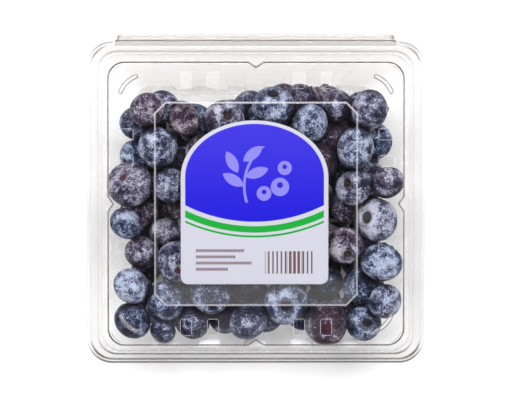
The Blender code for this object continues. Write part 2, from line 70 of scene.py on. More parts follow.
# %% Points and faces become a mesh
def new_mesh(name, points, faces, marks=None):
    mesh = bpy.data.meshes.new(name)
    places = np.asarray(points, float) * MM + np.array((0.0, SHIFT_Y * MM, 0.0))
    mesh.from_pydata(places.tolist(), [], faces)
    for mark, values in (marks or {}).items():
        attribute = mesh.attributes.new(mark, "FLOAT", "POINT")
        attribute.data.foreach_set("value", np.asarray(values, np.float32))
    mesh.update()
    return mesh


def weld(mesh, distance, outward=True):
    """Joins points that fall together within a distance in mm, and turns the faces outward."""
    welder = bmesh.new()
    welder.from_mesh(mesh)
    bmesh.ops.remove_doubles(welder, verts=welder.verts, dist=distance * MM)
    if outward:
        bmesh.ops.recalc_face_normals(welder, faces=welder.faces)
    welder.to_mesh(mesh)
    welder.free()


def soften(mesh, degrees):
    """Soft shading, but for edges that bend by more than so many degrees."""
    mesh.shade_smooth()
    mesh.set_sharp_from_angle(angle=math.radians(degrees))
    return mesh


# %% A mesh becomes a piece
def new_piece(name, mesh, body, finish, slot, stands_for=()):
    piece = bpy.data.objects.new(name, mesh)
    bpy.context.scene.collection.objects.link(piece)
    mesh.materials.append(finish)
    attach(piece, body)
    piece.visible_shadow = slot != "clear_plastic"    # a clear sheet throws hardly any shadow
    if stands_for:
        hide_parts(*stands_for)
    triangles = sum(len(face.vertices) - 2 for face in mesh.polygons)
    size = [round(side / MM, 1) for side in piece.dimensions]
    print("{}: {} triangles, {} mm".format(name, triangles, size))


# %% [markdown]
# ## A way to write finishes
# A finish is a small sum: a bit of noise times a mask, plus a shade. Blender keeps such
# sums as nodes. The class below lets them be written as sums: it wraps a node's output,
# and + - * add the Math nodes. Every other node comes from one method, `node`.

# %% Numbers that live on a surface
def math_node(operation, swapped=False):
    """A method that puts a value, and another value or number, into a Math node."""
    def method(self, other=0.0):
        first, second = (other, self) if swapped else (self, other)
        return self.finish.node("ShaderNodeMath", {"operation": operation}, {0: first, 1: second})
    return method


class Value:
    """A number or colour that changes over a surface."""

    def __init__(self, finish, socket):
        self.finish = finish
        self.socket = socket

    __add__, __radd__ = math_node("ADD"), math_node("ADD", True)
    __sub__, __rsub__ = math_node("SUBTRACT"), math_node("SUBTRACT", True)
    __mul__, __rmul__ = math_node("MULTIPLY"), math_node("MULTIPLY", True)
    power, larger, smaller = math_node("POWER"), math_node("MAXIMUM"), math_node("MINIMUM")
    size, root, sine = math_node("ABSOLUTE"), math_node("SQRT"), math_node("SINE")

    def ramp(self, start, end, low=0.0, high=1.0):
        """Runs smoothly from low at start to high at end."""
        return self.finish.node("ShaderNodeMapRange", {"interpolation_type": "SMOOTHSTEP"},
                                {0: self, 1: start, 2: end, 3: low, 4: high})

    def output(self, name):
        return Value(self.finish, self.socket.node.outputs[name])


# %% [markdown]
# A finish keeps a material and its nodes. The same calls also light the room, since a
# world's nodes are of the same kind.

# %% Nodes made by calls
class Finish:
    """A material, or a world, whose nodes are made by calls."""

    def __init__(self, name, kind="materials", end="ShaderNodeOutputMaterial"):
        self.made = getattr(bpy.data, kind).new(name)
        self.made.use_nodes = True
        self.tree = self.made.node_tree
        self.tree.nodes.clear()
        self.end = self.tree.nodes.new(end)

    def node(self, kind, settings=None, sockets=None, output=0):
        made = self.tree.nodes.new(kind)
        for setting, value in (settings or {}).items():
            setattr(made, setting, value)
        for socket, value in (sockets or {}).items():
            if isinstance(value, Value):
                self.tree.links.new(value.socket, made.inputs[socket])
            else:
                made.inputs[socket].default_value = value
        return Value(self, made.outputs[output])

    def mark(self, name):
        return self.node("ShaderNodeAttribute", {"attribute_name": name}, output="Fac")

    def places(self):
        """Where a point of the piece is, in millimetres, before any joint moves."""
        spot = self.node("ShaderNodeTexCoord", output="Object")
        return self.node("ShaderNodeVectorMath", {"operation": "SCALE"},
                         {0: spot, "Scale": 1.0 / MM})

    def noise(self, places, per_mm, detail=2.0, roughness=0.5, distortion=0.0):
        return self.node("ShaderNodeTexNoise", {},
                         {"Vector": places, "Scale": per_mm, "Detail": detail,
                          "Roughness": roughness, "Distortion": distortion})

    def mix(self, share, first, second):
        """Colours: first where share is 0, second where it is 1."""
        return self.node("ShaderNodeMix", {"data_type": "RGBA"},
                         {0: share, 6: first, 7: second}, output=2)

    def blend(self, share, first, second):
        """Whole surfaces: first where share is 0, second where it is 1."""
        return self.node("ShaderNodeMixShader", {}, {0: share, 1: first, 2: second})

    def done(self, surface):
        self.tree.links.new(surface.socket, self.end.inputs["Surface"])
        return self.made


def rgb(red, green, blue):
    return (red, green, blue, 1.0)


def grey(shade):
    return rgb(shade, shade, shade)


# %% [markdown]
# ## Clear sheet
# The pack is pressed from a clear sheet about a third of a millimetre thick. Three things make it
# visible. It takes a little light from what is behind it, it mirrors the lamps, more at a
# glancing look, and where it bends tightly it turns the light aside and reads as a dark line.
# Real refraction would make the render grainy and the shadow black, so the sheet is a mix. It is
# mostly a Transparent shader. It has a share of grey for a faint cloudiness, and for the painted
# highlights, painted reflections and painted light that a point mark puts in place. It has a dark
# share of painted shade where the point mark `bend` says that it bends. A mirror grows at a
# glance. Its see-through colour is darker where the sheet is thick, and darker still on some
# sides as painted shade. A faint wave in the normal makes the mirrored light wander as on real
# formed sheet.

# %% The finish of the clear sheet
SHEET_CLEAR = rgb(0.997, 0.996, 0.995)      # light passed by one face
SHEET_THICK = rgb(0.800, 0.785, 0.770)      # the same where the sheet is thick, also used as painted shade to darken some sides
# grey for cloudiness and for painted highlights, brown for the painted shade at bends
HAZE_AND_HIGHLIGHT_GREY, BEND_BROWN = rgb(0.68, 0.67, 0.72), rgb(0.062, 0.045, 0.032)
SHEET_HAZE = 0.001
GLANCE_HAZE = 0.01         # extra grey at a glancing look
BEND_DARK, BEND_MOST = 0.92, 0.95
MIRROR_SHARE = 0.005       # mirrored by one face, seen straight on
MIRROR_GLANCE = 0.13       # the same at a glancing look


def clear_sheet(name):
    """The sheet's finish; marks say where its bends are darkened as painted shade, where painted
    highlights, reflections and light lie, and how strong its tint is.
    """
    film = Finish(name)
    places = film.places()
    bend = film.mark("bend")
    haze = film.mark("haze")
    wave = film.noise(places, 0.05, 2.0, 0.5)
    grain = film.noise(places, 0.9, 2.0, 0.6)
    relief = film.node("ShaderNodeBump", {}, {"Strength": 0.25, "Distance": 0.6 * MM,
                                              "Height": wave + 0.02 * grain})
    glance = film.node("ShaderNodeLayerWeight", {}, {"Blend": 0.5}, output="Facing")
    # painted shade: the dark share at a bend stands in for the light that the bend turns aside
    dark = (bend * BEND_DARK * (0.8 + 0.4 * grain)).smaller(BEND_MOST)
    # a faint cloudiness of the sheet, plus the painted highlights, painted reflections and
    # painted light of the marks
    cloud = haze * (0.96 + 0.08 * grain) + SHEET_HAZE + GLANCE_HAZE * glance.power(4.0)
    tone = film.mix(bend.ramp(0.0, 0.35), HAZE_AND_HIGHLIGHT_GREY, BEND_BROWN)
    body = film.node("ShaderNodeBsdfPrincipled", {},
                     {"Base Color": tone, "Roughness": 0.22, "IOR": 1.5, "Normal": relief})
    thin = film.node("ShaderNodeBsdfTransparent", {}, {"Color": SHEET_CLEAR})
    thick = film.node("ShaderNodeBsdfTransparent", {}, {"Color": SHEET_THICK})
    see_through = film.blend(film.mark("tint"), thin, thick)
    veiled = film.blend(cloud.larger(dark).smaller(1.0), see_through, body)
    mirror = film.node("ShaderNodeBsdfGlossy", {},
                       {"Color": grey(1.0), "Roughness": 0.05, "Normal": relief})
    shine = MIRROR_SHARE + MIRROR_GLANCE * glance.power(5.0)
    return film.done(film.blend(shine, veiled, mirror))


# %% [markdown]
# ## Outlines
# Every level of the tray and of the lid is the same figure: a rectangle with round
# corners. Points on it are named by their station along a side, from -1 to 1 over the
# straight run, so that ribs, notches and the hinge sit at the same stations on every
# level, and neighbouring levels can be joined point by point.

# %% Round-cornered outlines and what joins them
Spot = namedtuple("Spot", "point outward side station")
CORNER_STEPS = 14
BACK = 2                   # sides are counted anticlockwise, the front is 0


def outline(half_x, half_y, corner, stations, chamfered=False):
    """Spots anticlockwise, side by side, each side followed by its corner."""
    spots = []
    for side in range(4):
        turn = Matrix.Rotation(math.radians(90.0 * side), 2)
        along = turn @ Vector((1.0, 0.0))
        outward = turn @ Vector((0.0, -1.0))
        reach, length = (half_y, half_x) if side % 2 == 0 else (half_x, half_y)
        run = length - corner
        for station in stations[side]:
            spots.append(Spot(outward * reach + along * run * station, outward, side, station))
        centre = outward * (reach - corner) + along * run
        for step in range(CORNER_STEPS + 1):
            part = step / CORNER_STEPS
            angle = math.radians(90.0 * part)
            direction = outward * math.cos(angle) + along * math.sin(angle)
            arm = outward * (1.0 - part) + along * part if chamfered else direction
            spots.append(Spot(centre + arm * corner, direction, side, None))
    return spots


def band_faces(first, second, count):
    """Quads between two rings of count points that start at these numbers."""
    return [(first + index, first + (index + 1) % count,
             second + (index + 1) % count, second + index) for index in range(count)]


# %% [markdown]
# Many numbers change softly from one place to the next, or differ from side to side.
# These two small functions say both in one line.

# %% Soft changes
def smooth_step(value, start, end):
    part = min(max((value - start) / (end - start), 0.0), 1.0)
    return part * part * (3.0 - 2.0 * part)


def by_side(outward, front, back, side, corner=0.0):
    """A value that runs from side to side round the corners, with an extra amount in them."""
    across, down = outward.x ** 2, outward.y ** 2
    straight = front if outward.y < 0.0 else back
    return side * across + straight * down + corner * 4.0 * across * down


# %% [markdown]
# ## Flat panels with holes and relief
# The lid's top and the tray's floor are panels with holes, a raised field and lugs. A
# Boolean would leave ragged triangles, and a plain grid would need a fine pitch. Here the
# outlines of every hole and step are laid out flat, filled with even triangles by a
# constrained Delaunay triangulation, and then each point is lifted to its height.

# %% Arcs and small rectangles
def arc(x, y, radius, start, sweep, steps, radius_y=None):
    """Points round (x, y), from an angle on, in degrees."""
    angles = [math.radians(start + sweep * step / steps) for step in range(steps + 1)]
    return [(x + radius * math.cos(angle), y + (radius_y or radius) * math.sin(angle))
            for angle in angles]


def box_loop(x, y, size_x, size_y, corner, steps=4):
    """A small round-cornered rectangle round (x, y)."""
    loop = []
    for quarter, (side_x, side_y) in enumerate(((1, 1), (-1, 1), (-1, -1), (1, -1))):
        loop += arc(x + side_x * (size_x / 2 - corner), y + side_y * (size_y / 2 - corner),
                    corner, 90.0 * quarter, 90.0, steps)
    return loop


def inside_box(x, y, box):
    return abs(x - box[0]) < box[2] / 2 and abs(y - box[1]) < box[3] / 2


# %% Fill a panel between its outlines
def triangulate(loops, inner):
    """Corners and flat triangles that have the loops as edges and use the inner points."""
    points, edges = [], []
    for loop in loops:
        start = len(points)
        points += [Vector(point) for point in loop]
        edges += [(start + i, start + (i + 1) % len(loop)) for i in range(len(loop))]
    points += [Vector(point) for point in inner]
    found = delaunay_2d_cdt(points, edges, [], 1, 0.001)
    return [(v.x, v.y) for v in found[0]], [tuple(face) for face in found[2]]


def fill_panel(border, loops, holes, pitch):
    """Triangles inside border, with loops as edges; a hole is its middle and its size."""
    edge_x = max(abs(point[0]) for point in border) - pitch / 2
    edge_y = max(abs(point[1]) for point in border) - pitch / 2
    corner = edge_x - max(abs(p[0]) for p in border if abs(p[1]) > edge_y)
    grid = []
    for row in range(-int(edge_y / pitch), int(edge_y / pitch) + 1):
        for column in range(-int(edge_x / pitch), int(edge_x / pitch) + 1):
            x, y = (column + 0.5 * (row % 2)) * pitch, row * pitch
            if abs(x) <= edge_x and abs(x) + abs(y) <= edge_x + edge_y - corner:
                grid.append((x, y))
    corners, faces = triangulate([border] + loops, grid)
    kept = []
    for face in faces:
        x, y = (sum(corners[i][axis] for i in face) / 3 for axis in (0, 1))
        if not any(inside_box(x, y, hole) for hole in holes):
            kept.append(face)
    return corners, kept


# %% [markdown]
# Tray and lid are drawn in the same two steps: rings of points level by level, and then a panel
# that closes the last ring. Each piece brings a function that says where a point lies, how dark
# the painted shade of its bend is, how much painted light it carries, and how strong its
# see-through tint is, from thickness and from painted shade. These three are the finish's marks.

# %% Levels and the panel that closes them
MARKS = ("bend", "haze", "tint")


def draw_levels(levels, stations, describe):
    """Points, faces and marks; describe(number, spot) gives x, y, z and the marks."""
    points, faces, marks = [], [], {mark: [] for mark in MARKS}
    for number, level in enumerate(levels):
        spots = outline(level.half_x, level.half_y, level.corner, stations)
        for spot in spots:
            x, y, z, *values = describe(number, spot)
            points.append((x, y, z))
            for mark, value in zip(MARKS, values):
                marks[mark].append(value)
        if number:
            faces += band_faces((number - 1) * len(spots), number * len(spots), len(spots))
    return points, faces, marks, [(x, y) for x, y, _ in points[-len(spots):]]


def close_with_panel(points, faces, marks, flat, describe):
    """Adds the flat filling; describe(x, y) gives z and the marks."""
    corners, panel = flat
    start = len(points)
    for x, y in corners:
        z, *values = describe(x, y)
        points.append((x, y, z))
        for mark, value in zip(MARKS, values):
            marks[mark].append(value)
    faces += [tuple(start + i for i in face) for face in panel]
    return points, faces, marks


# %% [markdown]
# A sheet has two faces and an edge. The pieces are drawn as their outer face, and Solidify
# lays the thickness on the inside. The normals of the tray's drawn face point into the
# tub, those of the lid's point away from the pack, so the two need opposite ways.
# Afterwards edges sharper than 40 degrees are marked, so that flat faces stay flat in the
# light and only the soft bends are smooth.

# %% Give a drawn face its thickness
SHEET = 0.35
WITH_NORMALS, AGAINST_NORMALS = 1.0, -1.0
SHARP_EDGE = 40.0          # degrees


def thicken(mesh, way):
    """The drawn face with the sheet's thickness laid on one side of it."""
    weld(mesh, 0.01, outward=False)
    holder = bpy.data.objects.new("holder", mesh)
    bpy.context.scene.collection.objects.link(holder)
    shell = holder.modifiers.new("sheet", "SOLIDIFY")
    shell.thickness = SHEET * MM
    shell.offset = way
    shell.use_even_offset = True
    bpy.context.view_layer.update()
    graph = bpy.context.evaluated_depsgraph_get()
    solid = bpy.data.meshes.new_from_object(holder.evaluated_get(graph))
    bpy.data.objects.remove(holder)
    return soften(solid, SHARP_EDGE)


# %% [markdown]
# ## The tray
# The tray is a shallow tub. Its wall leans out, stiffened by five inward ribs on each side, which
# end in small shelves below the rim. Round the foot runs a flat sole, inside it the floor stands
# a little higher, with slots that let the fruit breathe. It is drawn as levels from the rim down.
# Each level has its size, its height, how deep the ribs stand in at that height and how dark the
# painted shade of the sheet's bend is there.

# %% The tray's levels
FLANGE_TOP = 28.5
Level = namedtuple("Level", "half_x half_y corner height ribs bend")
TRAY_LEVELS = [Level(*row) for row in (
    (56.80, 54.00, 7.4, 27.70, 0.0, 0.50), (56.70, 53.76, 7.4, 28.20, 0.0, 0.80),
    (56.50, 53.58, 7.3, 28.46, 0.0, 0.80), (56.30, 53.38, 7.3, 28.50, 0.0, 0.02),
    (53.70, 51.40, 6.6, 28.50, 0.0, 0.00), (53.25, 50.95, 6.5, 28.38, 0.0, 0.10),
    (53.00, 50.70, 6.4, 28.00, 0.0, 0.12), (52.90, 50.60, 6.4, 27.30, 0.0, 0.02),
    (52.60, 50.30, 6.4, 26.30, 0.0, 0.00), (52.50, 50.20, 6.4, 25.90, 0.5, 0.05),
    (52.35, 50.05, 6.4, 25.55, 1.5, 0.08), (52.20, 49.90, 6.4, 25.20, 2.1, 0.06),
    (51.90, 49.60, 6.4, 24.40, 2.2, 0.00),
    (49.60, 47.30, 6.4, 17.00, 2.0, 0.00), (47.30, 45.00, 6.4, 9.50, 1.8, 0.00),
    (45.20, 42.90, 6.4, 2.40, 1.6, 0.01), (44.80, 42.50, 6.3, 1.20, 1.6, 0.03),
    (44.30, 42.00, 6.2, 0.45, 1.6, 0.04), (43.60, 41.30, 6.0, 0.08, 1.5, 0.03),
    (42.80, 40.50, 6.0, 0.00, 1.2, 0.00), (39.40, 37.10, 6.0, 0.00, 0.3, 0.00),
    (38.60, 36.30, 6.0, 0.25, 0.0, 0.04), (37.80, 35.50, 6.0, 1.00, 0.0, 0.03),
    (37.10, 34.80, 6.0, 1.75, 0.0, 0.04), (36.40, 34.10, 6.0, 2.00, 0.0, 0.00),
)]
SIGNS = [(sx, sy) for sx in (-1, 1) for sy in (-1, 1)]
SLOT_LONG, SLOT_SHORT = 5.4, 3.6
FLOOR_VENTS = [(sx * 25.0, sy * 12.5, SLOT_LONG, SLOT_SHORT) for sx, sy in SIGNS]
FLOOR_VENTS += [(sx * 12.5, sy * 25.0, SLOT_SHORT, SLOT_LONG) for sx, sy in SIGNS]
print("{} levels, {} slots in the floor".format(len(TRAY_LEVELS), len(FLOOR_VENTS)))

# %% The ribs
RIB_MIDDLES = [number * 0.345 for number in (-2, -1, 0, 1, 2)]
RIB_FOOT, RIB_FACE = 0.112, 0.062
RIB_STEPS = (0.0, 0.150, 0.112, 0.104, 0.096, 0.087, 0.078, 0.070, 0.062, 0.040)


def rib_stations():
    return sorted({round(middle + side * step, 4)
                   for middle in RIB_MIDDLES for step in RIB_STEPS for side in (-1, 1)})


def rib_share(station):
    """1 on a rib's face, 0 between ribs."""
    if station is None:
        return 0.0
    nearest = min(abs(station - middle) for middle in RIB_MIDDLES)
    return 1.0 - smooth_step(nearest, RIB_FACE, RIB_FOOT)


print("{} ribs on each side, {} points along it".format(len(RIB_MIDDLES), len(rib_stations())))


# %% [markdown]
# How clear a tub looks differs from side to side, because the lamps and the thickness do. So the
# marks for the finish are given for its front, its back and its sides, and run from one to the
# next round the corners. They paint light and shade: the dark rim lines are painted shade, the
# pale wall and rib tops are painted light and painted highlights, and the darker tints, strongest
# at the back, are partly painted shade.

# %% Draw the tray
RIM_TINTS = (0.20, 0.36, 0.16)          # front, back and sides of both rims
RIM_LINES = (0.72, 0.10, 0.20, 0.50)    # how dark the painted shade of its edge is there, and more in the corners
# the back wall's darker tint is painted shade
WALL_TINTS = (0.0, 0.50, 0.0)
WALL_PAINTED_LIGHT = (0.13, 0.03, 0.03)
SHELF_PAINTED_HIGHLIGHTS = (0.38, 0.05, 0.12)        # painted highlight on top of the ribs
RIM_START, SHELF_TOP, RIM_FULL = 25.0, 26.0, 27.5    # heights
PAINTED_LIGHT_RISE = (4.0, 16.0)                 # the painted light on the wall grows between these heights
TINT_FADE, TINT_LOSS = (4.0, 20.0), 0.4
FLANK_BEND = 0.04


def tray_wall(number, spot):
    level = TRAY_LEVELS[number]
    share = rib_share(spot.station)
    place = spot.point - spot.outward * level.ribs * share
    flank = 4.0 * share * (1.0 - share) if level.ribs else 0.0
    rim = smooth_step(level.height, RIM_START, RIM_FULL)
    line = 1.0 + (by_side(spot.outward, *RIM_LINES) - 1.0) * rim
    wall = smooth_step(level.height, *PAINTED_LIGHT_RISE) * (1.0 - rim)
    shelf = share if RIM_START < level.height < SHELF_TOP else 0.0
    # painted light on the wall, strongest in front, and painted highlights on the ribs' tops
    haze = wall * by_side(spot.outward, *WALL_PAINTED_LIGHT) + shelf * by_side(spot.outward, *SHELF_PAINTED_HIGHLIGHTS)
    tint = (1.0 - rim) * by_side(spot.outward, *WALL_TINTS)
    tint *= 1.0 - TINT_LOSS * smooth_step(level.height, *TINT_FADE)
    tint += rim * by_side(spot.outward, *RIM_TINTS)
    return place.x, place.y, level.height, level.bend * line + FLANK_BEND * flank, haze, tint


def draw_tray():
    *wall, border = draw_levels(TRAY_LEVELS, [rib_stations()] * 4, tray_wall)
    flat = fill_panel(border, [box_loop(*slot, 0.8) for slot in FLOOR_VENTS], FLOOR_VENTS, 4.0)
    plain = (TRAY_LEVELS[-1].height, 0.0, 0.0, 0.0)
    return new_mesh("clear_tray", *close_with_panel(*wall, flat, lambda x, y: plain))


tray_film = clear_sheet("clear_sheet_of_the_tray")
new_piece("clear_tray", thicken(draw_tray(), WITH_NORMALS), "tray", tray_film, "clear_plastic",
          ["tray"])

# %% [markdown]
# ## The hinge
# Lid and tray are one sheet, creased along the back. When the lid turns, the crease stays
# a thin rounded fold. It is drawn as a section pulled along the hinge: a flat leaf from
# the tray's rim that ends in a round bead on the fold line. The lid's own leaf ends
# inside the bead, so the joint looks whole at every angle.

# %% Pull the hinge's section along the fold
FOLD_Y, FOLD_Z, FOLD_RADIUS = 57.4, 28.65, 0.65
BEAD_START, BEAD_SWEEP, BEAD_STEPS = -115.0, 310.0, 18
LEAF_HALF, LEAF_START, LEAF_END = 48.3, 53.9, 56.6
TAPER, END_ROUND = 0.02, 1.6             # the strip narrows to the fold, its ends are rounded
INNER_STATIONS = [-30.0, -6.0, 2.0, 12.0, 22.0, 34.0]
CREASE = (55.30, 55.50, 55.80, 56.00)    # a dark crease lies between the middle two
# the crease, the bead and the strip's ends are darkened as painted shade, like every bend of the
# sheet
CREASE_DARK, BEAD_DARK, END_DARK, LEAF_DARK = 0.75, 0.35, 0.5, 0.04
HINGE_TINT = 0.6


def hinge_section():
    """The leaf's lower face, the bead on the fold line, and the leaf's upper face."""
    lower = [(y, FLANGE_TOP - SHEET) for y in (LEAF_START,) + CREASE + (LEAF_END,)]
    bead = arc(FOLD_Y, FOLD_Z, FOLD_RADIUS, BEAD_START, BEAD_SWEEP, BEAD_STEPS)
    return lower + bead + [(y, FLANGE_TOP) for y, _ in reversed(lower)]


def draw_hinge():
    section = hinge_section()
    ends = [LEAF_HALF - off for off in (END_ROUND, 0.8, 0.4, 0.0)]
    along = [-x for x in reversed(ends)] + INNER_STATIONS + ends
    points, faces, bends = [], [], []
    for x in along:
        end = smooth_step(LEAF_HALF - abs(x), 0.0, END_ROUND)
        for y, z in section:
            narrower = 1.0 - TAPER * smooth_step(y, CREASE[0], FOLD_Y)
            reach = (y - LEAF_START) * (0.86 + 0.14 * end)
            points.append((x * narrower, LEAF_START + reach, z))
            bead = BEAD_DARK * smooth_step(y, FOLD_Y + 0.3, FOLD_Y + FOLD_RADIUS)
            dark = max(CREASE_DARK if y in CREASE[1:3] else LEAF_DARK, bead)
            bends.append(max(dark, END_DARK * (1.0 - end)) if y > CREASE[0] else LEAF_DARK)
    count = len(section)
    for row in range(len(along) - 1):
        faces += band_faces(row * count, (row + 1) * count, count)
    faces.append(tuple(reversed(range(count))))
    faces.append(tuple(range((len(along) - 1) * count, len(along) * count)))
    marks = {"bend": bends, "haze": [0.0] * len(points), "tint": [HINGE_TINT] * len(points)}
    return soften(new_mesh("hinge_strip", points, faces, marks), SHARP_EDGE)


new_piece("hinge_strip", draw_hinge(), "tray", tray_film, "clear_plastic", ["hinge_fold"])

# %% [markdown]
# ## The lid
# The lid is a shallow cap. From outside in it has a lip that hangs over the tray's rim,
# a flat flange, a low bead, a wall with a dent in the middle of each side, and the top
# panel. On the panel are a raised eight-sided field for the sticker, four curved lugs
# that locate a pack stacked on it, and sixteen slots. Its levels have the same numbers
# as the tray's, but the heights count from the flange, and in place of the ribs' depth
# they say how much of the dent reaches them.

# %% The lid's levels
LID_FLANGE, BEAD_RISE = 29.3, 2.20
LIP_LEVELS = 5
LID_LEVELS = [Level(*row) for row in (
    # the lip, whose drop below the flange fades out along the hinge
    (58.20, 55.40, 8.6, -1.70, 0.0, 0.30), (58.12, 55.24, 8.6, -0.90, 0.0, 0.90),
    (57.98, 55.06, 8.5, -0.35, 0.0, 1.00), (57.76, 54.84, 8.4, -0.08, 0.0, 1.00),
    (57.56, 54.66, 8.4, 0.00, 0.0, 0.04), (56.60, 53.80, 8.0, 0.00, 0.0, 0.00),
    (55.20, 52.90, 7.2, 0.00, 0.0, 0.00), (54.56, 52.36, 6.8, 0.02, 0.0, 0.05),
    (54.34, 52.14, 6.6, 0.22, 0.0, 0.90), (54.16, 51.96, 6.6, 0.70, 0.0, 0.90),
    (54.02, 51.76, 6.6, 1.70, 0.0, 0.05), (53.84, 51.54, 6.6, 2.06, 0.0, 0.00),
    (53.50, 51.36, 6.6, BEAD_RISE, 0.0, 0.00), (53.16, 51.14, 6.6, 2.22, 0.0, 0.02),
    (53.00, 50.98, 6.5, 2.42, 0.0, 0.60), (52.84, 50.80, 6.4, 2.90, 0.1, 0.10),
    (52.30, 50.04, 6.3, 5.50, 0.4, 0.02), (51.55, 49.35, 6.2, 8.60, 0.7, 0.00),
    (51.00, 48.80, 6.1, 10.30, 0.9, 0.00), (50.72, 48.52, 6.0, 11.10, 1.0, 0.00),
    (50.46, 48.26, 5.9, 11.55, 1.0, 0.15), (50.29, 48.10, 5.8, 11.75, 1.0, 1.00),
    (50.10, 47.91, 5.7, 11.88, 1.0, 1.00), (49.96, 47.78, 5.7, 11.95, 1.0, 0.10),
    (49.60, 47.40, 5.6, 12.00, 1.0, 0.00),
)]
print("{} levels from the lip to the panel".format(len(LID_LEVELS)))

# %% Stations along the lid's sides
NOTCH_DEPTH, NOTCH_WIDTH = 1.7, 0.055
LEAF_STATION = LEAF_HALF / (FLANGE_HALF_X - FLANGE_CORNER)


def lid_stations():
    half = [0.008, 0.016, 0.024, 0.032, 0.040, 0.048, 0.056, 0.064, 0.10, 0.22, 0.36, 0.50]
    half += [0.64, 0.78, 0.90]
    plain = [-place for place in reversed(half)] + [0.0] + half
    leaf = [LEAF_STATION, LEAF_STATION + 0.012]
    hinge = sorted(plain + leaf + [-place for place in leaf])
    return [hinge if side == BACK else plain for side in range(4)]


def notch_share(station):
    """How deep the dent is at a station: a V with a round tip and round shoulders."""
    if station is None:
        return 0.0
    slope = 1.0 - abs(station) / NOTCH_WIDTH
    return smooth_step(slope, -0.25, 1.25) * 1.08 if slope > -0.25 else 0.0


print("points along the lid's sides:", [len(side) for side in lid_stations()])


# %% [markdown]
# The marks of the lid's wall follow its height: the lip and the wall's foot are the dark lines of
# painted shade that draw the pack's outline, the bead has a painted highlight in front, and so
# does the soft bend just outside the panel's line. The tint of the sheet grows darker towards the
# back, a painted shade.

# %% Draw the lid's rim and wall
# the panel's tint grows darker towards the back as painted shade
PANEL_TINT, PANEL_TINT_BACK, PANEL_TINT_RISE = 0.02, 0.16, (36.0, 44.0)
LIP_LINES = (1.00, 0.30, 0.08, 0.10)    # front, back, sides and corners
FOOT_LINES = (1.00, 0.45, 0.28, 0.00)
# painted highlights: on the bead, strongest in front, and on the shoulder outside the panel's
# line
BEAD_PAINTED_HIGHLIGHTS = (0.55, 0.04, 0.04)
SHOULDER_LOW, SHOULDER_HIGH, SHOULDER_PAINTED_HIGHLIGHT = 10.8, 11.3, 0.30
FOOT_TOP = 6.0                          # the wall's foot ends this far above the flange
LIP_FADE = (38.0, 47.0)                 # where along y the lip flattens
LEAF_SHORT = 0.1                        # the lid's leaf ends this near to the fold line


def panel_tint(y):
    return PANEL_TINT + (PANEL_TINT_BACK - PANEL_TINT) * smooth_step(y, *PANEL_TINT_RISE)


def wall_bend(level, spot):
    if level.height > FOOT_TOP:
        return level.bend
    return level.bend * by_side(spot.outward, *(FOOT_LINES if level.height > 0.0 else LIP_LINES))


# a painted highlight on the bead and on the shoulder outside the panel's line
def wall_painted_highlight(level, spot):
    if level.height == BEAD_RISE:
        return by_side(spot.outward, *BEAD_PAINTED_HIGHLIGHTS)
    return SHOULDER_PAINTED_HIGHLIGHT if SHOULDER_LOW < level.height < SHOULDER_HIGH else 0.0


def wall_tint(level, spot, place, on_lip):
    """The flange is thicker than the panel, and at its very edge the light passes it twice."""
    rim = 1.0 - smooth_step(level.height, 3.0, FOOT_TOP)
    clear = panel_tint(place.y)
    tint = clear + rim * (by_side(spot.outward, *RIM_TINTS) - clear)
    return min(2.0 * tint, 1.0) if on_lip else tint


def lid_wall(number, spot):
    level = LID_LEVELS[number]
    height = level.height
    place = spot.point - spot.outward * NOTCH_DEPTH * level.ribs * notch_share(spot.station)
    on_lip = number < LIP_LEVELS
    by_hinge = spot.side == BACK and spot.station is not None
    bend = 0.0 if on_lip and by_hinge else wall_bend(level, spot)
    haze, tint = wall_painted_highlight(level, spot), wall_tint(level, spot, place, on_lip)
    if height <= 0.0:
        height *= 1.0 - smooth_step(spot.point.y, *LIP_FADE)
    if number == 0 and by_hinge and abs(spot.station) <= LEAF_STATION:
        # the leaf reaches into the bead on the fold line
        place = place + spot.outward * (FOLD_Y - LEAF_SHORT - spot.point.y)
        height = FOLD_Z + SHEET / 2 - LID_FLANGE
    return place.x, place.y, LID_FLANGE + height, bend, haze, tint


# %% [markdown]
# The panel's points get their height from two simple rules: how far inside the field's
# edge a point lies, and how far it is from the middle line of the nearest lug.

# %% What lies where on the panel
PANEL_TOP = 41.3
PANEL_HALF = (50.19, 48.00)            # the dark line round the panel
VENTS = [(sx * x, sy * 41.9, SLOT_SHORT, SLOT_LONG) for sx, sy in SIGNS for x in (14.6, 23.8)]
VENTS += [(sx * 44.4, sy * y, SLOT_LONG, SLOT_SHORT) for sx, sy in SIGNS for y in (14.5, 23.6)]
FIELD_HALF, FIELD_CHAMFER, FIELD_RISE, FIELD_SLOPE = 34.75, 4.0, 0.7, 0.7
LUG_RADIUS, LUG_HALF, LUG_SPREAD, LUG_RISE, LUG_LINE = 9.0, 0.75, 24.0, 0.6, 0.45
# the middle of the arc that a lug follows
LUG_X, LUG_Y = 43.8 - LUG_RADIUS / math.sqrt(2.0), 41.1 - LUG_RADIUS / math.sqrt(2.0)


def field_depth(x, y):
    """How far inside the field's outer edge a point lies, along the nearest side."""
    side = FIELD_HALF - max(abs(x), abs(y))
    chamfer = (2 * FIELD_HALF - FIELD_CHAMFER - abs(x) - abs(y)) / math.sqrt(2.0)
    return min(side, chamfer)


def lug_distance(x, y):
    """Distance from a point to the middle line of the lug in its quarter."""
    dx, dy = abs(x) - LUG_X, abs(y) - LUG_Y
    turned = math.degrees(math.atan2(dy, dx)) - 45.0
    held = math.radians(45.0 + min(max(turned, -LUG_SPREAD), LUG_SPREAD))
    return math.hypot(dx - LUG_RADIUS * math.cos(held), dy - LUG_RADIUS * math.sin(held))


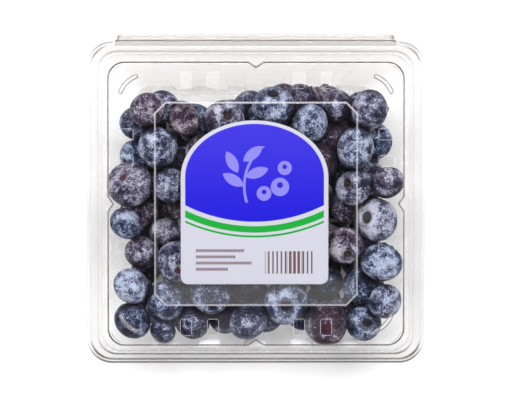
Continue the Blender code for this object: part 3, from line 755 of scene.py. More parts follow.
def lug_loop(side_x, side_y, half):
    """The outline of a lug at a distance from its middle line: two arcs and two round ends."""
    loop = []
    for sign in (1, -1):
        loop += arc(LUG_X, LUG_Y, LUG_RADIUS + sign * half,
                    45.0 - sign * LUG_SPREAD, 2 * sign * LUG_SPREAD, 8)
        tip = math.radians(45.0 + sign * LUG_SPREAD)
        tip_x, tip_y = LUG_X + LUG_RADIUS * math.cos(tip), LUG_Y + LUG_RADIUS * math.sin(tip)
        for step in range(1, 6):
            angle = tip + math.radians(180.0 * step / 6.0) + (0.0 if sign == 1 else math.pi)
            loop.append((tip_x + half * math.cos(angle), tip_y + half * math.sin(angle)))
    return [(side_x * x, side_y * y) for x, y in loop]


def panel_height(x, y):
    depth = field_depth(x, y)
    rise = FIELD_RISE * smooth_step(depth, 0.0, FIELD_SLOPE)
    rise += LUG_RISE * (1.0 - smooth_step(lug_distance(x, y), 0.15, LUG_HALF + 0.05))
    return PANEL_TOP + rise


print("{} slots; the field stands at {:.1f} mm".format(len(VENTS), panel_height(0.0, 0.0)))


# %% [markdown]
# The panel's lines are marks on narrow bands of points: the field's edge, the rims of the slots
# and the lugs are pale with painted highlights, the lugs and slots are edged with dark lines of
# painted shade, and a short dark line of painted shade follows each corner. The strip of the
# field below the sticker and the panel's front carry a faint painted reflection.

# %% The panel's lines and haze
ON_LINE = 0.05                         # points this near to a line belong to it
ARC_INSET, ARC_CORNER, ARC_DARK = 0.95, 4.7, 0.6
# dark lines of painted shade and pale lines of painted highlight on the lugs and the slots' rims
LUG_DARK, LUG_HIGHLIGHT = 0.75, 0.36
SLOT_DARK, SLOT_HIGHLIGHT = 0.10, 0.34
FIELD_EDGE_HIGHLIGHT, STRIP_REFLECTION, FRONT_REFLECTION = 0.34, 0.032, 0.010
FRONT_RISE, FRONT_FALL = (37.5, 39.0), (44.5, 47.0)    # the front's painted reflection, seen along y
FRONT_X, FRONT_SIDE = -2.0, (26.0, 34.0)               # and along x
STRIP_TOP = -27.2                      # the strip starts at the sticker's foot


def corner_arc(x, y):
    """How dark the short second line is that follows the panel's edge round a corner."""
    across = abs(x) - (PANEL_HALF[0] - ARC_INSET - ARC_CORNER)
    down = abs(y) - (PANEL_HALF[1] - ARC_INSET - ARC_CORNER)
    if min(across, down) <= 0.0 or abs(math.hypot(across, down) - ARC_CORNER) > ON_LINE:
        return 0.0
    return smooth_step(min(across, down) / ARC_CORNER, 0.10, 0.45)


def vent_rim(x, y):
    """1 on the rim of a slot, else 0; the rim gets a painted highlight and a faint dark line of
    painted shade.
    """
    for vent_x, vent_y, size_x, size_y in VENTS:
        off = max(abs(x - vent_x) - size_x / 2, abs(y - vent_y) - size_y / 2)
        if abs(off) < ON_LINE:
            return 1.0
    return 0.0


# dark lines of painted shade on the lugs, the corner arcs and the slots' rims
def panel_bend(x, y):
    lug = LUG_DARK if abs(lug_distance(x, y) - LUG_HALF) < ON_LINE else 0.0
    return max(lug, ARC_DARK * corner_arc(x, y), SLOT_DARK * vent_rim(x, y))


# painted reflection on the strip below the sticker and on the front, painted highlights on the
# field's edge, the slots' rims and the lugs
def panel_painted_light(x, y):
    depth = field_depth(x, y)
    inside = smooth_step(depth, 0.0, FIELD_SLOPE)
    edge = 1.0 if abs(depth - FIELD_SLOPE / 2) < 0.08 else 0.0
    below = 1.0 - smooth_step(y, STRIP_TOP - 0.5, STRIP_TOP + 1.5)
    front = smooth_step(-y, *FRONT_RISE) * (1.0 - smooth_step(-y, *FRONT_FALL))
    front *= 1.0 - smooth_step(abs(x - FRONT_X), *FRONT_SIDE)
    lug = LUG_HIGHLIGHT if abs(lug_distance(x, y) - LUG_LINE) < ON_LINE else 0.0
    veil = STRIP_REFLECTION * inside * below + FRONT_REFLECTION * front
    return veil + FIELD_EDGE_HIGHLIGHT * edge + SLOT_HIGHLIGHT * vent_rim(x, y) + lug


# %% [markdown]
# Each line gets an outline of its own in the flat filling, with a guard outline on either
# side, so that its mark ends sharply and doesn't smear over the panel's wide triangles.

# %% Draw the panel and join it to the wall
def flat_outline(half_x, half_y, corner, stations, chamfered=False):
    spots = outline(half_x, half_y, corner, [stations] * 4, chamfered)
    return [(spot.point.x, spot.point.y) for spot in spots]


def panel_loops():
    loops = []
    for x, y, size_x, size_y in VENTS:
        loops.append(box_loop(x, y, size_x, size_y, 0.35, 2))
        loops.append(box_loop(x, y, size_x + 0.5, size_y + 0.5, 0.6, 2))
    for side_x, side_y in SIGNS:
        for half in (LUG_HALF + 0.15, LUG_HALF, LUG_LINE, 0.2):
            loops.append(lug_loop(side_x, side_y, half))
    for inset in (-0.12, 0.0, FIELD_SLOPE / 2 - 0.06, FIELD_SLOPE / 2 + 0.06, FIELD_SLOPE,
                  FIELD_SLOPE + 0.12):
        half, chamfer = FIELD_HALF - inset, FIELD_CHAMFER - inset * (2.0 - math.sqrt(2.0))
        loops.append(flat_outline(half, half, chamfer, [], True))
    for aside in (-0.15, 0.0, 0.15):
        loops.append(flat_outline(PANEL_HALF[0] - ARC_INSET - aside,
                                  PANEL_HALF[1] - ARC_INSET - aside,
                                  ARC_CORNER - aside, [-0.8, 0.0, 0.8]))
    return loops


def lid_panel(x, y):
    return panel_height(x, y), panel_bend(x, y), panel_painted_light(x, y), panel_tint(y)


def draw_lid():
    *wall, border = draw_levels(LID_LEVELS, lid_stations(), lid_wall)
    flat = fill_panel(border, panel_loops(), VENTS, 3.0)
    return new_mesh("clear_lid", *close_with_panel(*wall, flat, lid_panel))


lid_film = clear_sheet("clear_sheet_of_the_lid")
new_piece("clear_lid", thicken(draw_lid(), AGAINST_NORMALS), "lid", lid_film, "clear_plastic",
          ["lid"])

# %% [markdown]
# ## The sticker
# The sticker is a tombstone of coated paper on the raised field. Its print is plain: a blue field
# in the arch, green rules, a pale sprig, and brown bars where a pack has its small print. The
# blue grows lighter towards the top, a painted sheen. It is made by sums on the sticker's own
# millimetres, so no picture is laid on it.

# %% Cut the sticker
LABEL_X, LABEL_HALF, LABEL_BOTTOM = -0.5, 25.0, -27.2
LABEL_SHOULDER, LABEL_ARCH, LABEL_CORNER = 9.0, 19.3, 2.5
LABEL_Z, LABEL_THICK = PANEL_TOP + FIELD_RISE + 0.02, 0.12
LABEL_ROUND, LABEL_EDGE = 0.12, 0.04    # its upper edge is rounded by this much
LABEL_GRID = 2.0                        # inner points this far apart let the paper swell


def label_loop(inset):
    """The sticker's outline, drawn in by inset."""
    half, corner = LABEL_HALF - inset, LABEL_CORNER - inset / 2
    low = LABEL_BOTTOM + inset + corner
    loop = arc(half - corner, low, corner, -90.0, 90.0, 7)
    loop += arc(0.0, LABEL_SHOULDER, half, 0.0, 180.0, 48, LABEL_ARCH - inset)
    loop += arc(-half + corner, low, corner, 180.0, 90.0, 7)
    return [(LABEL_X + x, y) for x, y in loop]


def draw_label():
    """Two faces and a thin edge, slightly rounded on top."""
    outer, inner = label_loop(0.0), label_loop(LABEL_ROUND)
    grid = []
    for row in range(-13, 15):
        for column in range(-12, 13):
            x, y = column * LABEL_GRID, row * LABEL_GRID
            across = x / (LABEL_HALF - 1.0)
            if abs(across) >= 1.0:
                continue
            rim_y = LABEL_SHOULDER + (LABEL_ARCH - 1.0) * math.sqrt(1.0 - across ** 2)
            if LABEL_BOTTOM + 1.0 < y < rim_y:
                grid.append((x + LABEL_X, y))
    corners, faces = triangulate([inner], grid)
    top = LABEL_Z + LABEL_THICK
    points = [(x, y, top) for x, y in corners]
    count = len(outer)
    rings = ((inner, top), (outer, top - LABEL_EDGE), (outer, LABEL_Z))
    start = len(points)
    for ring, height in rings:
        points += [(x, y, height) for x, y in ring]
    for number in range(2):
        faces += [tuple(reversed(f)) for f in band_faces(start + number * count,
                                                         start + (number + 1) * count, count)]
    back = len(points)
    points += [(x, y, LABEL_Z) for x, y in outer]
    faces.append(tuple(back + i for i in reversed(range(count))))
    mesh = new_mesh("sticker", points, faces)
    weld(mesh, 0.005)
    return soften(mesh, 30.0)


# %% [markdown]
# Print is made of masks: each is a distance turned into a sharp step. A leaf is where two
# circles overlap, a rule is a thin ring, and the small print is rows of bars whose
# lengths differ.

# %% What is printed
WHITE, BACK_WHITE = rgb(0.365, 0.365, 0.405), rgb(0.56, 0.56, 0.58)
FIBRE_BLUE = rgb(0.02, 0.01, 0.30)
BLUE_LOW, BLUE_HIGH = rgb(0.003, 0.001, 0.375), rgb(0.022, 0.014, 0.40)
GREEN, PALE_BLUE, BROWN = rgb(0.001, 0.235, 0.002), rgb(0.155, 0.14, 0.46), rgb(0.09, 0.04, 0.025)
FIELD_INSET = 1.5                                  # the blue field ends this far from the edge
SWEEP_Y, BLUE_SWEEP = 46.0, 52.0                   # its lower edge is part of a wide circle
RULES = ((54.6, 1.1), (57.0, 0.35))                # radius and half width of the green rules
STALK = (14.0, 6.0, 17.5, 0.45)
LEAF_LONG, LEAF_WIDE = 8.2, 3.6
LEAVES = ((-7.2, 8.2, 150.0), (-7.6, 14.2, 118.0), (-0.6, 17.0, 38.0), (0.8, 10.6, 20.0))
FRUITS = ((8.6, 5.8, 3.1), (3.2, 3.6, 2.5), (10.2, 12.2, 2.4))
FRUIT_EYES = ((8.6, 6.4, 1.0), (3.2, 4.1, 0.8), (10.2, 12.6, 0.8))
LINES_LEFT = -20.0
LINES = ((-3.5, -16.3), (-6.5, -18.4), (-1.0, -20.5), (-9.0, -22.6))    # right end, foot
print("{} leaves, {} fruits, {} lines".format(len(LEAVES), len(FRUITS), len(LINES)))


# %% Print the sticker
def label_finish():
    paper = Finish("printed_sticker")
    places = paper.places()
    axes = paper.node("ShaderNodeSeparateXYZ", {}, {0: places})
    x = axes.output("X") - LABEL_X
    y = axes.output("Y") - SHIFT_Y
    z = axes.output("Z")

    def step(value, edge=0.0, soft=0.07):
        return value.ramp(edge - soft, edge + soft)

    def disc(cx, cy, radius):
        dx, dy = x - cx, y - cy
        return radius - (dx * dx + dy * dy).root()

    def ring(cx, cy, radius, half_width):
        return step(half_width - disc(cx, cy, radius).size())

    def leaf(cx, cy, degrees):
        """Where two circles overlap: pointed at both ends."""
        radius = (LEAF_LONG ** 2 + LEAF_WIDE ** 2) / (4 * LEAF_WIDE)
        away = radius - LEAF_WIDE / 2
        turn = math.radians(degrees)
        off_x, off_y = -math.sin(turn) * away, math.cos(turn) * away
        return disc(cx + off_x, cy + off_y, radius).smaller(disc(cx - off_x, cy - off_y, radius))

    def bar(left, right, low, high):
        return step(((x - left).smaller(right - x)).smaller((y - low).smaller(high - y)))

    def any_of(masks):
        return reduce(Value.larger, masks)

    # the blue field fills the arch down to a curved lower edge, with two green rules below
    arch_y = (y - LABEL_SHOULDER).larger(0.0) * (LABEL_HALF / LABEL_ARCH)
    rim = LABEL_HALF - (x * x + arch_y * arch_y).root() - FIELD_INSET
    blue = step(rim.smaller(disc(0.0, SWEEP_Y, BLUE_SWEEP)))
    rules = any_of(ring(0.0, SWEEP_Y, radius, half) for radius, half in RULES) * step(rim)

    # a sprig of leaves and fruit on the blue
    stalk = ring(*STALK) * step(y, 0.5) * step(19.5 - y) * step(4.0 - x)
    fruit = any_of(step(disc(*one)) for one in FRUITS)
    fruit = fruit * (1.0 - any_of(step(disc(*one)) for one in FRUIT_EYES))
    sprig = any_of([stalk, fruit] + [step(leaf(*one)) for one in LEAVES])

    # bars in place of small print, and a block of upright bars
    lines = any_of(bar(LINES_LEFT, right, low, low + 1.0) for right, low in LINES)
    lines = lines * step((x * 7.5 + y * 3.0).sine(), -0.55, 0.4)
    upright = (x * 4.3).sine() + 0.7 * (x * 9.1 + 1.0).sine()
    block = bar(3.5, 20.0, -23.6, -16.0) * step(upright, 0.1, 0.25)

    # the blue grows lighter towards the top: a painted sheen
    colour = paper.mix(blue, WHITE, paper.mix(y.ramp(-6.0, 28.0), BLUE_LOW, BLUE_HIGH))
    colour = paper.mix(rules, colour, GREEN)
    colour = paper.mix(sprig * blue, colour, PALE_BLUE)
    colour = paper.mix(lines.larger(block), colour, BROWN)
    # print is only on the upper face
    printed = step(z, LABEL_Z + LABEL_THICK / 2, 0.02)
    colour = paper.mix(printed, BACK_WHITE, colour)
    fibre = paper.noise(places, 1.4, 4.0, 0.6)
    colour = paper.mix(0.12 * fibre, colour, FIBRE_BLUE)
    swell = paper.noise(places, 0.045, 1.0)
    relief = paper.node("ShaderNodeBump", {}, {"Strength": 0.3, "Distance": 0.3 * MM,
                                               "Height": swell + 0.03 * fibre})
    surface = paper.node("ShaderNodeBsdfPrincipled", {},
                         {"Base Color": colour, "Roughness": 0.38 + 0.1 * fibre,
                          "Specular IOR Level": 0.10, "Normal": relief})
    return paper.done(surface)


new_piece("sticker", draw_label(), "lid", label_finish(), "label_paper", ["label"])

# %% [markdown]
# ## Where each berry lies
# The heap is poured the same way as in the solid model, so that the fruit lies inside its
# outline: lower berries fall at random and push each other apart, then those on top sink
# in among them, each drawn towards its own place. The table gives the place, size and
# drop below the heap's ceiling of each berry on top. It also says how it looks: how much
# bloom it wears, how purple it is, where its crown points, and how strong the pale ring
# round the crown and the red scar of the stalk are.

# %% The berries on top
Seen = namedtuple("Seen", "x y size drop bloom plum crown ring scar")
TOP_BERRIES = [Seen(*row) for row in (
    # left side, from the hinge to the front
    (-37.0, 31.8, 12.2, 0.0, 0.30, 0.75, (-0.3, 0.5, -0.6), 0.0, 0.3),
    (-33.4, 18.4, 14.6, 0.0, 0.42, 0.25, (0.8, 0.2, -0.5), 0.0, 0.3),
    (-42.4, 5.3, 15.8, 0.0, 0.48, 0.60, (0.30, -0.35, -0.9), 0.2, 1.0),
    (-29.7, 6.3, 12.0, 3.0, 0.50, 0.35, (0.75, -0.2, 0.6), 0.3, 0.2),
    (-43.5, -7.3, 11.6, 5.0, 0.48, 0.15, (-0.5, -0.7, -0.5), 0.0, 0.2),
    (-37.8, -16.3, 12.0, 5.0, 0.38, 0.60, (0.3, 0.8, -0.5), 0.0, 0.2),
    (-28.3, -21.8, 14.8, 0.0, 0.34, 0.35, (0.0, 0.4, -0.92), 1.0, 1.0),
    (-41.8, -28.6, 12.8, 0.0, 0.66, 0.20, (-0.6, -0.5, -0.6), 0.0, 0.5),
    (-42.4, -40.6, 13.2, 4.0, 0.30, 0.15, (0.5, 0.5, -0.7), 0.0, 0.2),
    # right side
    (36.5, 31.6, 13.8, 0.0, 0.40, 0.40, (0.85, 0.0, -0.5), 0.2, 0.9),
    (34.0, 19.6, 14.6, 0.0, 0.50, 0.20, (0.8, -0.1, 0.45), 0.3, 0.2),
    (44.0, 6.5, 11.8, 2.0, 0.36, 0.60, (-0.4, 0.7, -0.5), 0.0, 0.2),
    (34.2, 5.3, 12.2, 0.5, 0.46, 0.45, (-0.45, 0.35, 0.8), 0.6, 0.2),
    (41.4, -5.6, 14.8, 0.0, 0.78, 0.60, (-0.65, 0.2, 0.72), 0.5, 0.2),
    (31.2, -14.6, 13.0, 1.0, 0.38, 0.80, (0.1, -0.5, 0.85), 0.7, 0.2),
    (42.4, -21.0, 14.6, 0.0, 0.60, 0.10, (0.2, 0.8, -0.3), 0.0, 0.2),
    (43.4, -34.0, 12.2, 2.0, 0.45, 0.25, (-0.6, 0.3, -0.6), 0.0, 0.2),
    (35.9, -41.6, 12.2, 6.0, 0.42, 0.10, (0.15, 0.1, 0.97), 0.5, 0.2),
    # along the hinge side
    (-24.2, 28.4, 11.4, 0.0, 0.22, 0.90, (0.6, 0.5, -0.5), 0.0, 0.3),
    (-10.3, 29.6, 14.0, 0.0, 0.38, 0.55, (0.2, 0.3, 0.93), 0.7, 0.3),
    (6.3, 32.9, 14.4, 0.0, 0.46, 0.20, (0.0, 0.75, 0.65), 0.4, 0.2),
    (20.2, 27.6, 13.6, 0.0, 0.50, 0.15, (-0.8, 0.2, 0.2), 0.2, 0.2),
    (28.0, 31.6, 11.4, 8.0, 0.38, 0.45, (0.4, -0.5, -0.7), 0.0, 1.0),
    # along the front
    (-30.6, -34.6, 13.4, 7.0, 0.38, 0.10, (-0.7, -0.5, -0.5), 0.0, 0.2),
    (-17.0, -32.6, 15.2, 0.0, 0.36, 0.15, (0.7, 0.3, -0.6), 0.0, 0.2),
    (-20.6, -43.2, 12.2, 5.0, 0.20, 0.30, (0.4, 0.6, -0.6), 0.0, 0.2),
    (-2.6, -40.6, 13.6, 1.0, 0.25, 0.25, (-0.5, 0.6, -0.5), 0.0, 0.2),
    (10.0, -34.1, 15.4, 0.0, 0.42, 0.12, (0.05, -0.15, 0.98), 0.6, 0.2),
    (26.2, -42.8, 15.0, 2.0, 0.12, 0.85, (-0.1, 0.1, -1.0), 0.2, 0.9),
    (-31.5, -45.0, 9.0, 6.0, 0.20, 0.15, (0.4, 0.6, -0.6), 0.0, 0.2),
)]
print("{} berries are placed by hand".format(len(TOP_BERRIES)))

# %% The room that the heap has
BERRY_COUNT, BERRY_SEED, BERRY_SMALL, BERRY_LARGE = 137, 7, 11.0, 15.4
HEAP_FLOOR, HEAP_CEILING, HEAP_BACK, HEAP_BACK_CORNER = 2.9, 40.2, 41.2, 20.0
HEAP_BASE_HALF_X, HEAP_BASE_HALF_Y, HEAP_WIDEST, HEAP_WALL_SLOPE = 42.0, 39.7, 51.4, 0.276
HEAP_STEP, HEAP_STEP_FROM, HEAP_STEP_OVER = 1.0, 26.0, 4.0
HEAP_HOLLOW_X, HEAP_HOLLOW_HALF, HEAP_HOLLOW_DEPTH = -17.5, 17.0, 6.0
POUR_TOP, POUR_STEPS, POUR_FALL, SINK_STEPS, SINK_FALL = 30.0, 160, 0.5, 260, 0.3
REST_STEPS, TOP_SLIP, HOMING, REST_HOMING = 200, 0.05, 0.10, 0.06
MIDDLE_ROWS, MIDDLE_PITCH, MIDDLE_Y, MIDDLE_JITTER, MIDDLE_SLIP = 4, 12.8, -1.5, 1.6, 0.4


def heap_limits(height):
    """Clear half sizes of the pack at a height."""
    step = min(max((height - HEAP_STEP_FROM) / HEAP_STEP_OVER, 0.0), 1.0)
    widen = HEAP_WALL_SLOPE * height + HEAP_STEP * step
    half_x = min(HEAP_BASE_HALF_X + widen, HEAP_WIDEST)
    half_y = min(HEAP_BASE_HALF_Y + widen, HEAP_WIDEST - (HEAP_BASE_HALF_X - HEAP_BASE_HALF_Y))
    return half_x, half_y


def keep_inside(berry):
    """Moves a berry back inside the tray, the lid and the edge of the heap."""
    radius = berry["radius"]
    side = radius / math.cos(math.atan(HEAP_WALL_SLOPE))
    berry["z"] = min(max(berry["z"], HEAP_FLOOR + radius), HEAP_CEILING - radius)
    half_x, half_y = heap_limits(berry["z"])
    berry["x"] = min(max(berry["x"], side - half_x), half_x - side)
    berry["y"] = max(berry["y"], side - half_y)
    hollow = max(1.0 - ((berry["x"] - HEAP_HOLLOW_X) / HEAP_HOLLOW_HALF) ** 4, 0.0)
    back = HEAP_BACK - HEAP_HOLLOW_DEPTH * hollow
    berry["y"] = min(berry["y"], back - radius, half_y - side)
    # rounded back corners of the heap
    corner_x = abs(berry["x"]) - (half_x - HEAP_BACK_CORNER)
    corner_y = berry["y"] - (HEAP_BACK - HEAP_BACK_CORNER)
    distance = math.hypot(max(corner_x, 0.0), max(corner_y, 0.0))
    excess = distance + radius - HEAP_BACK_CORNER
    if corner_x > 0.0 and corner_y > 0.0 and excess > 0.0:
        berry["x"] -= math.copysign(excess * corner_x / distance, berry["x"])
        berry["y"] -= excess * corner_y / distance


# %% [markdown]
# Two berries that overlap are moved apart along the line between them, half each, but one that is
# listed gives way only a little sideways. Many small steps of this, with a fall that fades,
# settle the heap. A rigid body simulation would do it too, but would not give the same heap on
# every computer.

# %% Pour the heap
def push_apart(berries):
    """Shares out each overlap of two berries; those on top give way only a little sideways."""
    for index, one in enumerate(berries):
        for other in berries[index + 1:]:
            room = one["radius"] + other["radius"]
            dz = other["z"] - one["z"]
            if abs(dz) >= room:
                continue
            dx, dy = other["x"] - one["x"], other["y"] - one["y"]
            distance = math.sqrt(dx * dx + dy * dy + dz * dz)
            if distance >= room or distance == 0.0:
                continue
            overlap = (room - distance) / distance
            total = one["slip"] + other["slip"]
            for axis, gap in (("x", dx), ("y", dy)):
                one[axis] -= gap * (overlap * one["slip"] / total)
                other[axis] += gap * (overlap * other["slip"] / total)
            one["z"] -= dz * overlap / 2
            other["z"] += dz * overlap / 2


def settle(berries, steps, fall, homing):
    """Lets the berries sink; the pull fades, and those on top are drawn back to their places."""
    for step in range(steps):
        pull = fall * (1.0 - step / steps)
        for berry in berries:
            berry["z"] -= pull
            for axis, home in zip("xyz", berry["home"]):
                berry[axis] += homing * (home - berry[axis])
        push_apart(berries)
        for berry in berries:
            keep_inside(berry)


def top_berry(x, y, size, drop, slip):
    """A berry whose top is drawn to a place so far below the heap's ceiling."""
    z = HEAP_CEILING - size / 2 - drop
    return {"x": x, "y": y, "z": z, "radius": size / 2, "slip": slip, "home": (x, y, z)}


def middle_berries(chance):
    """The berries on top under the label, in uneven rows."""
    berries = []
    centre = (MIDDLE_ROWS - 1) / 2
    for row in range(MIDDLE_ROWS):
        for number in range(MIDDLE_ROWS):
            x = (number - centre) * MIDDLE_PITCH + chance.uniform(-MIDDLE_JITTER, MIDDLE_JITTER)
            y = (row - centre) * MIDDLE_PITCH + chance.uniform(-MIDDLE_JITTER, MIDDLE_JITTER)
            size = chance.uniform(BERRY_SMALL, BERRY_LARGE)
            berries.append(top_berry(x, y + MIDDLE_Y, size, 0.0, MIDDLE_SLIP))
    return berries


def pack_berries():
    """Pours the lower berries, then lets those on top sink in among them."""
    chance = random.Random(BERRY_SEED)
    top = [top_berry(one.x, one.y, one.size, one.drop, TOP_SLIP) for one in TOP_BERRIES]
    top += middle_berries(chance)
    berries = []
    while len(berries) < BERRY_COUNT - len(top):
        size = chance.uniform(BERRY_SMALL, BERRY_LARGE)
        berries.append({"x": chance.uniform(-HEAP_BASE_HALF_X, HEAP_BASE_HALF_X),
                        "y": chance.uniform(-HEAP_BASE_HALF_Y, HEAP_BASE_HALF_Y),
                        "z": chance.uniform(HEAP_FLOOR, POUR_TOP),
                        "radius": size / 2, "slip": 1.0, "home": ()})
    settle(berries, POUR_STEPS, POUR_FALL, HOMING)
    berries += top
    settle(berries, SINK_STEPS, SINK_FALL, HOMING)
    settle(berries, REST_STEPS, 0.0, REST_HOMING)
    return berries


heap = pack_berries()
top_count = len(TOP_BERRIES) + MIDDLE_ROWS ** 2
highest = max(berry["z"] + berry["radius"] for berry in heap)
print("{} berries, {} of them on top, up to {:.1f} mm".format(len(heap), top_count, highest))

# %% [markdown]
# ## The shape of a blueberry
# A blueberry is a slightly flattened ball. At one end it carries the crown: five short
# lobes round a hollow, left from the flower. At the other is the small scar of its stalk.
# A displaced ball would blur the crown, so the berry is turned from rings that follow
# the crown's section, and each ring swings between a section through a lobe and one
# between two lobes. No two berries are alike: each has its own lean, lumps and lobes.

# %% Rings from the crown to the stalk's scar
# radius and height between lobes, then through a lobe, in parts of the berry's radius
CROWN_RINGS = (
    (0.00, -0.130, 0.00, -0.130), (0.05, -0.120, 0.05, -0.120), (0.10, -0.150, 0.10, -0.150),
    (0.17, -0.155, 0.18, -0.155), (0.23, -0.125, 0.25, -0.120), (0.27, -0.080, 0.30, -0.035),
    (0.30, -0.050, 0.35, 0.020), (0.33, -0.045, 0.40, 0.032), (0.355, -0.048, 0.415, 0.000),
    (0.39, -0.060, 0.425, -0.050),
)
STEM_RINGS = ((0.150, 0.000), (0.125, 0.022), (0.085, 0.042), (0.045, 0.036), (0.0, 0.040))
LOBES = 5
# no two berries are alike: how flat the ball is, how wide the crown, how high and how long
# the lobes are, and how far the berry leans
FLAT, CROWN, LIFT, LOBE, LEAN = (0.84, 0.93), (0.82, 1.12), (0.6, 1.3), (0.55, 1.1), (-0.05, 0.05)
BODY_START = 0.46          # where the round body starts, in parts of its radius
TOUCH_REACH = 3.0          # bloom thins, partly as rubbed off, and the skin is painted darker as contact shade this near to another berry, in mm
print("{} rings for a crown, {} for a scar".format(len(CROWN_RINGS), len(STEM_RINGS)))


def berry_points(berry, look, segments, body_rings, chance):
    """Points of one berry as rings of `segments`, with how far along each ring lies."""
    around = np.arange(segments) * (2.0 * math.pi / segments)
    size = berry["radius"]
    flat = size * chance.uniform(*FLAT)
    crown, lift = chance.uniform(*CROWN), chance.uniform(*LIFT)
    lobe_sizes = np.array([chance.uniform(*LOBE) for _ in range(LOBES)])
    nearest = np.round(around * LOBES / (2.0 * math.pi)).astype(int) % LOBES
    lobe = (0.5 + 0.5 * np.cos(LOBES * around)) ** 0.8 * lobe_sizes[nearest]
    pole = flat * 0.985
    rings, along = [], []
    for gap_r, gap_z, lobe_r, lobe_z in CROWN_RINGS:
        radius = (gap_r + (lobe_r - gap_r) * lobe) * crown * size
        height = pole + (gap_z + (lobe_z - gap_z) * lobe * lift) * size
        rings.append((radius, height))
        along.append(gap_r)
    start = math.asin(BODY_START * crown)
    end = math.pi - math.asin(STEM_RINGS[0][0])
    for step in range(body_rings):
        part = step / (body_rings - 1)
        angle = start + (end - start) * part
        ripple = 0.012 * np.cos(LOBES * around) * max(0.0, 1.0 - part * 3.0)
        radius = size * (math.sin(angle) + ripple)
        height = flat * math.cos(angle) * (1.0 - 0.03 * math.cos(angle) ** 2)
        rings.append((radius, np.full(segments, height)))
        along.append(math.sin(angle) if angle < math.pi / 2 else 2.0 - math.sin(angle))
    for ring_r, sink in STEM_RINGS[1:]:
        rings.append((np.full(segments, ring_r * size),
                      np.full(segments, -flat * 0.96 + sink * size)))
        along.append(2.0 - ring_r)

    lumps = [(k, chance.uniform(0.0, 0.030 / k), chance.uniform(0.0, 6.3)) for k in (2, 3, 4)]
    lean_x, lean_y = chance.uniform(*LEAN), chance.uniform(*LEAN)
    stack = []
    for radius, height in rings:
        swell = 1.0 + sum(a * np.cos(k * around + turn) for k, a, turn in lumps)
        full = radius * swell
        share = height / flat
        x = full * np.cos(around) + lean_x * height
        y = full * np.sin(around) + lean_y * height
        stack.append(np.stack([x, y, height + 0.02 * size * (1.0 - share ** 2)], axis=1))
    points = np.concatenate(stack)
    axis = Vector(look["crown"]).normalized()
    turn = axis.to_track_quat("Z", "Y").to_matrix() @ Matrix.Rotation(look["spin"], 3, "Z")
    points = points @ np.array(turn).T
    points += np.array((berry["x"], berry["y"], berry["z"]))
    return points, np.repeat(along, segments)


# %% [markdown]
# All berries that are turned equally finely make one mesh. What is true of a whole berry,
# such as its bloom, is put on each of its points, since the finish is one for all.

# %% Marks on the berries' points
def touch_share(places, berry):
    """1 where another berry touches this one, 0 where none is near."""
    closest = np.full(len(places), TOUCH_REACH)
    for other in heap:
        apart = [other[axis] - berry[axis] for axis in "xyz"]
        if other is berry or math.hypot(*apart) > berry["radius"] + other["radius"] + TOUCH_REACH:
            continue
        middle = np.array([other[axis] for axis in "xyz"])
        distance = np.linalg.norm(places - middle, axis=1) - other["radius"]
        closest = np.minimum(closest, np.maximum(distance, 0.0))
    return 1.0 - closest / TOUCH_REACH


LOOK_MARKS = ("bloom", "plum", "ring", "scar")


def join_berries(name, berries, looks, segments, body_rings, chance):
    """One mesh of many berries; the marks tell the finish about each of them."""
    points, faces = [], []
    marks = {mark: [] for mark in ("along", "touch") + LOOK_MARKS}
    start = 0
    for berry, look in zip(berries, looks):
        places, along = berry_points(berry, look, segments, body_rings, chance)
        points.append(places)
        marks["along"].append(along)
        marks["touch"].append(touch_share(places, berry))
        for mark in LOOK_MARKS:
            marks[mark].append(np.full(len(places), look[mark]))
        ring_count = len(places) // segments
        for ring in range(ring_count - 1):
            first = start + ring * segments
            faces += [tuple(reversed(face)) for face in
                      band_faces(first, first + segments, segments)]
        start += len(places)
    marks = {mark: np.concatenate(values) for mark, values in marks.items()}
    mesh = new_mesh(name, np.concatenate(points), faces, marks)
    weld(mesh, 0.001)
    mesh.shade_smooth()
    return mesh


# %% [markdown]
# ## What each berry looks like
# The fruit that is listed brings its looks from the table. The rest gets the same numbers by
# chance, since only bits of it are seen.

# %% Looks of the berries
def berry_looks(berries, chance):
    """Looks in the order of the heap, whose last berries are those on top."""
    first_known = len(berries) - top_count
    looks = []
    for number in range(len(berries)):
        known = number - first_known
        if 0 <= known < len(TOP_BERRIES):
            look = TOP_BERRIES[known]._asdict()
        else:
            crown = Vector((chance.gauss(0, 1), chance.gauss(0, 1), chance.gauss(0, 1)))
            # the fruit not in the table gets thinner bloom: partly fruit differs, partly painted
            # shade that darkens the deeper heap
            look = {"bloom": chance.uniform(0.05, 0.45), "plum": chance.random() ** 1.5,
                    "crown": crown, "ring": chance.random() * 0.7, "scar": chance.random()}
        look["spin"] = chance.uniform(0.0, 2.0 * math.pi)
        looks.append(look)
    return looks


# %% [markdown]
# ## Skin and bloom
# The skin is nearly black, navy to plum. Over it lies bloom, a thin pale wax, rubbed off
# in patches, which makes the fruit look powder blue. Bloom is a mask made of noise of
# several sizes, shifted by each berry's own share. It also dulls the surface, so the
# rubbed patches shine more. The hollow of the crown and the scar of the stalk are brown.

# %% The colours of the berries
# in pairs: on a blue berry, then on a plum one
BARE_SKIN = rgb(0.0035, 0.0050, 0.0160), rgb(0.018, 0.0055, 0.0130)
THIN_BLOOM = rgb(0.042, 0.061, 0.128), rgb(0.104, 0.060, 0.080)
THICK_BLOOM = rgb(0.33, 0.385, 0.52), rgb(0.45, 0.37, 0.38)
CROWN_HOLLOW = rgb(0.006, 0.006, 0.010), rgb(0.026, 0.015, 0.011)
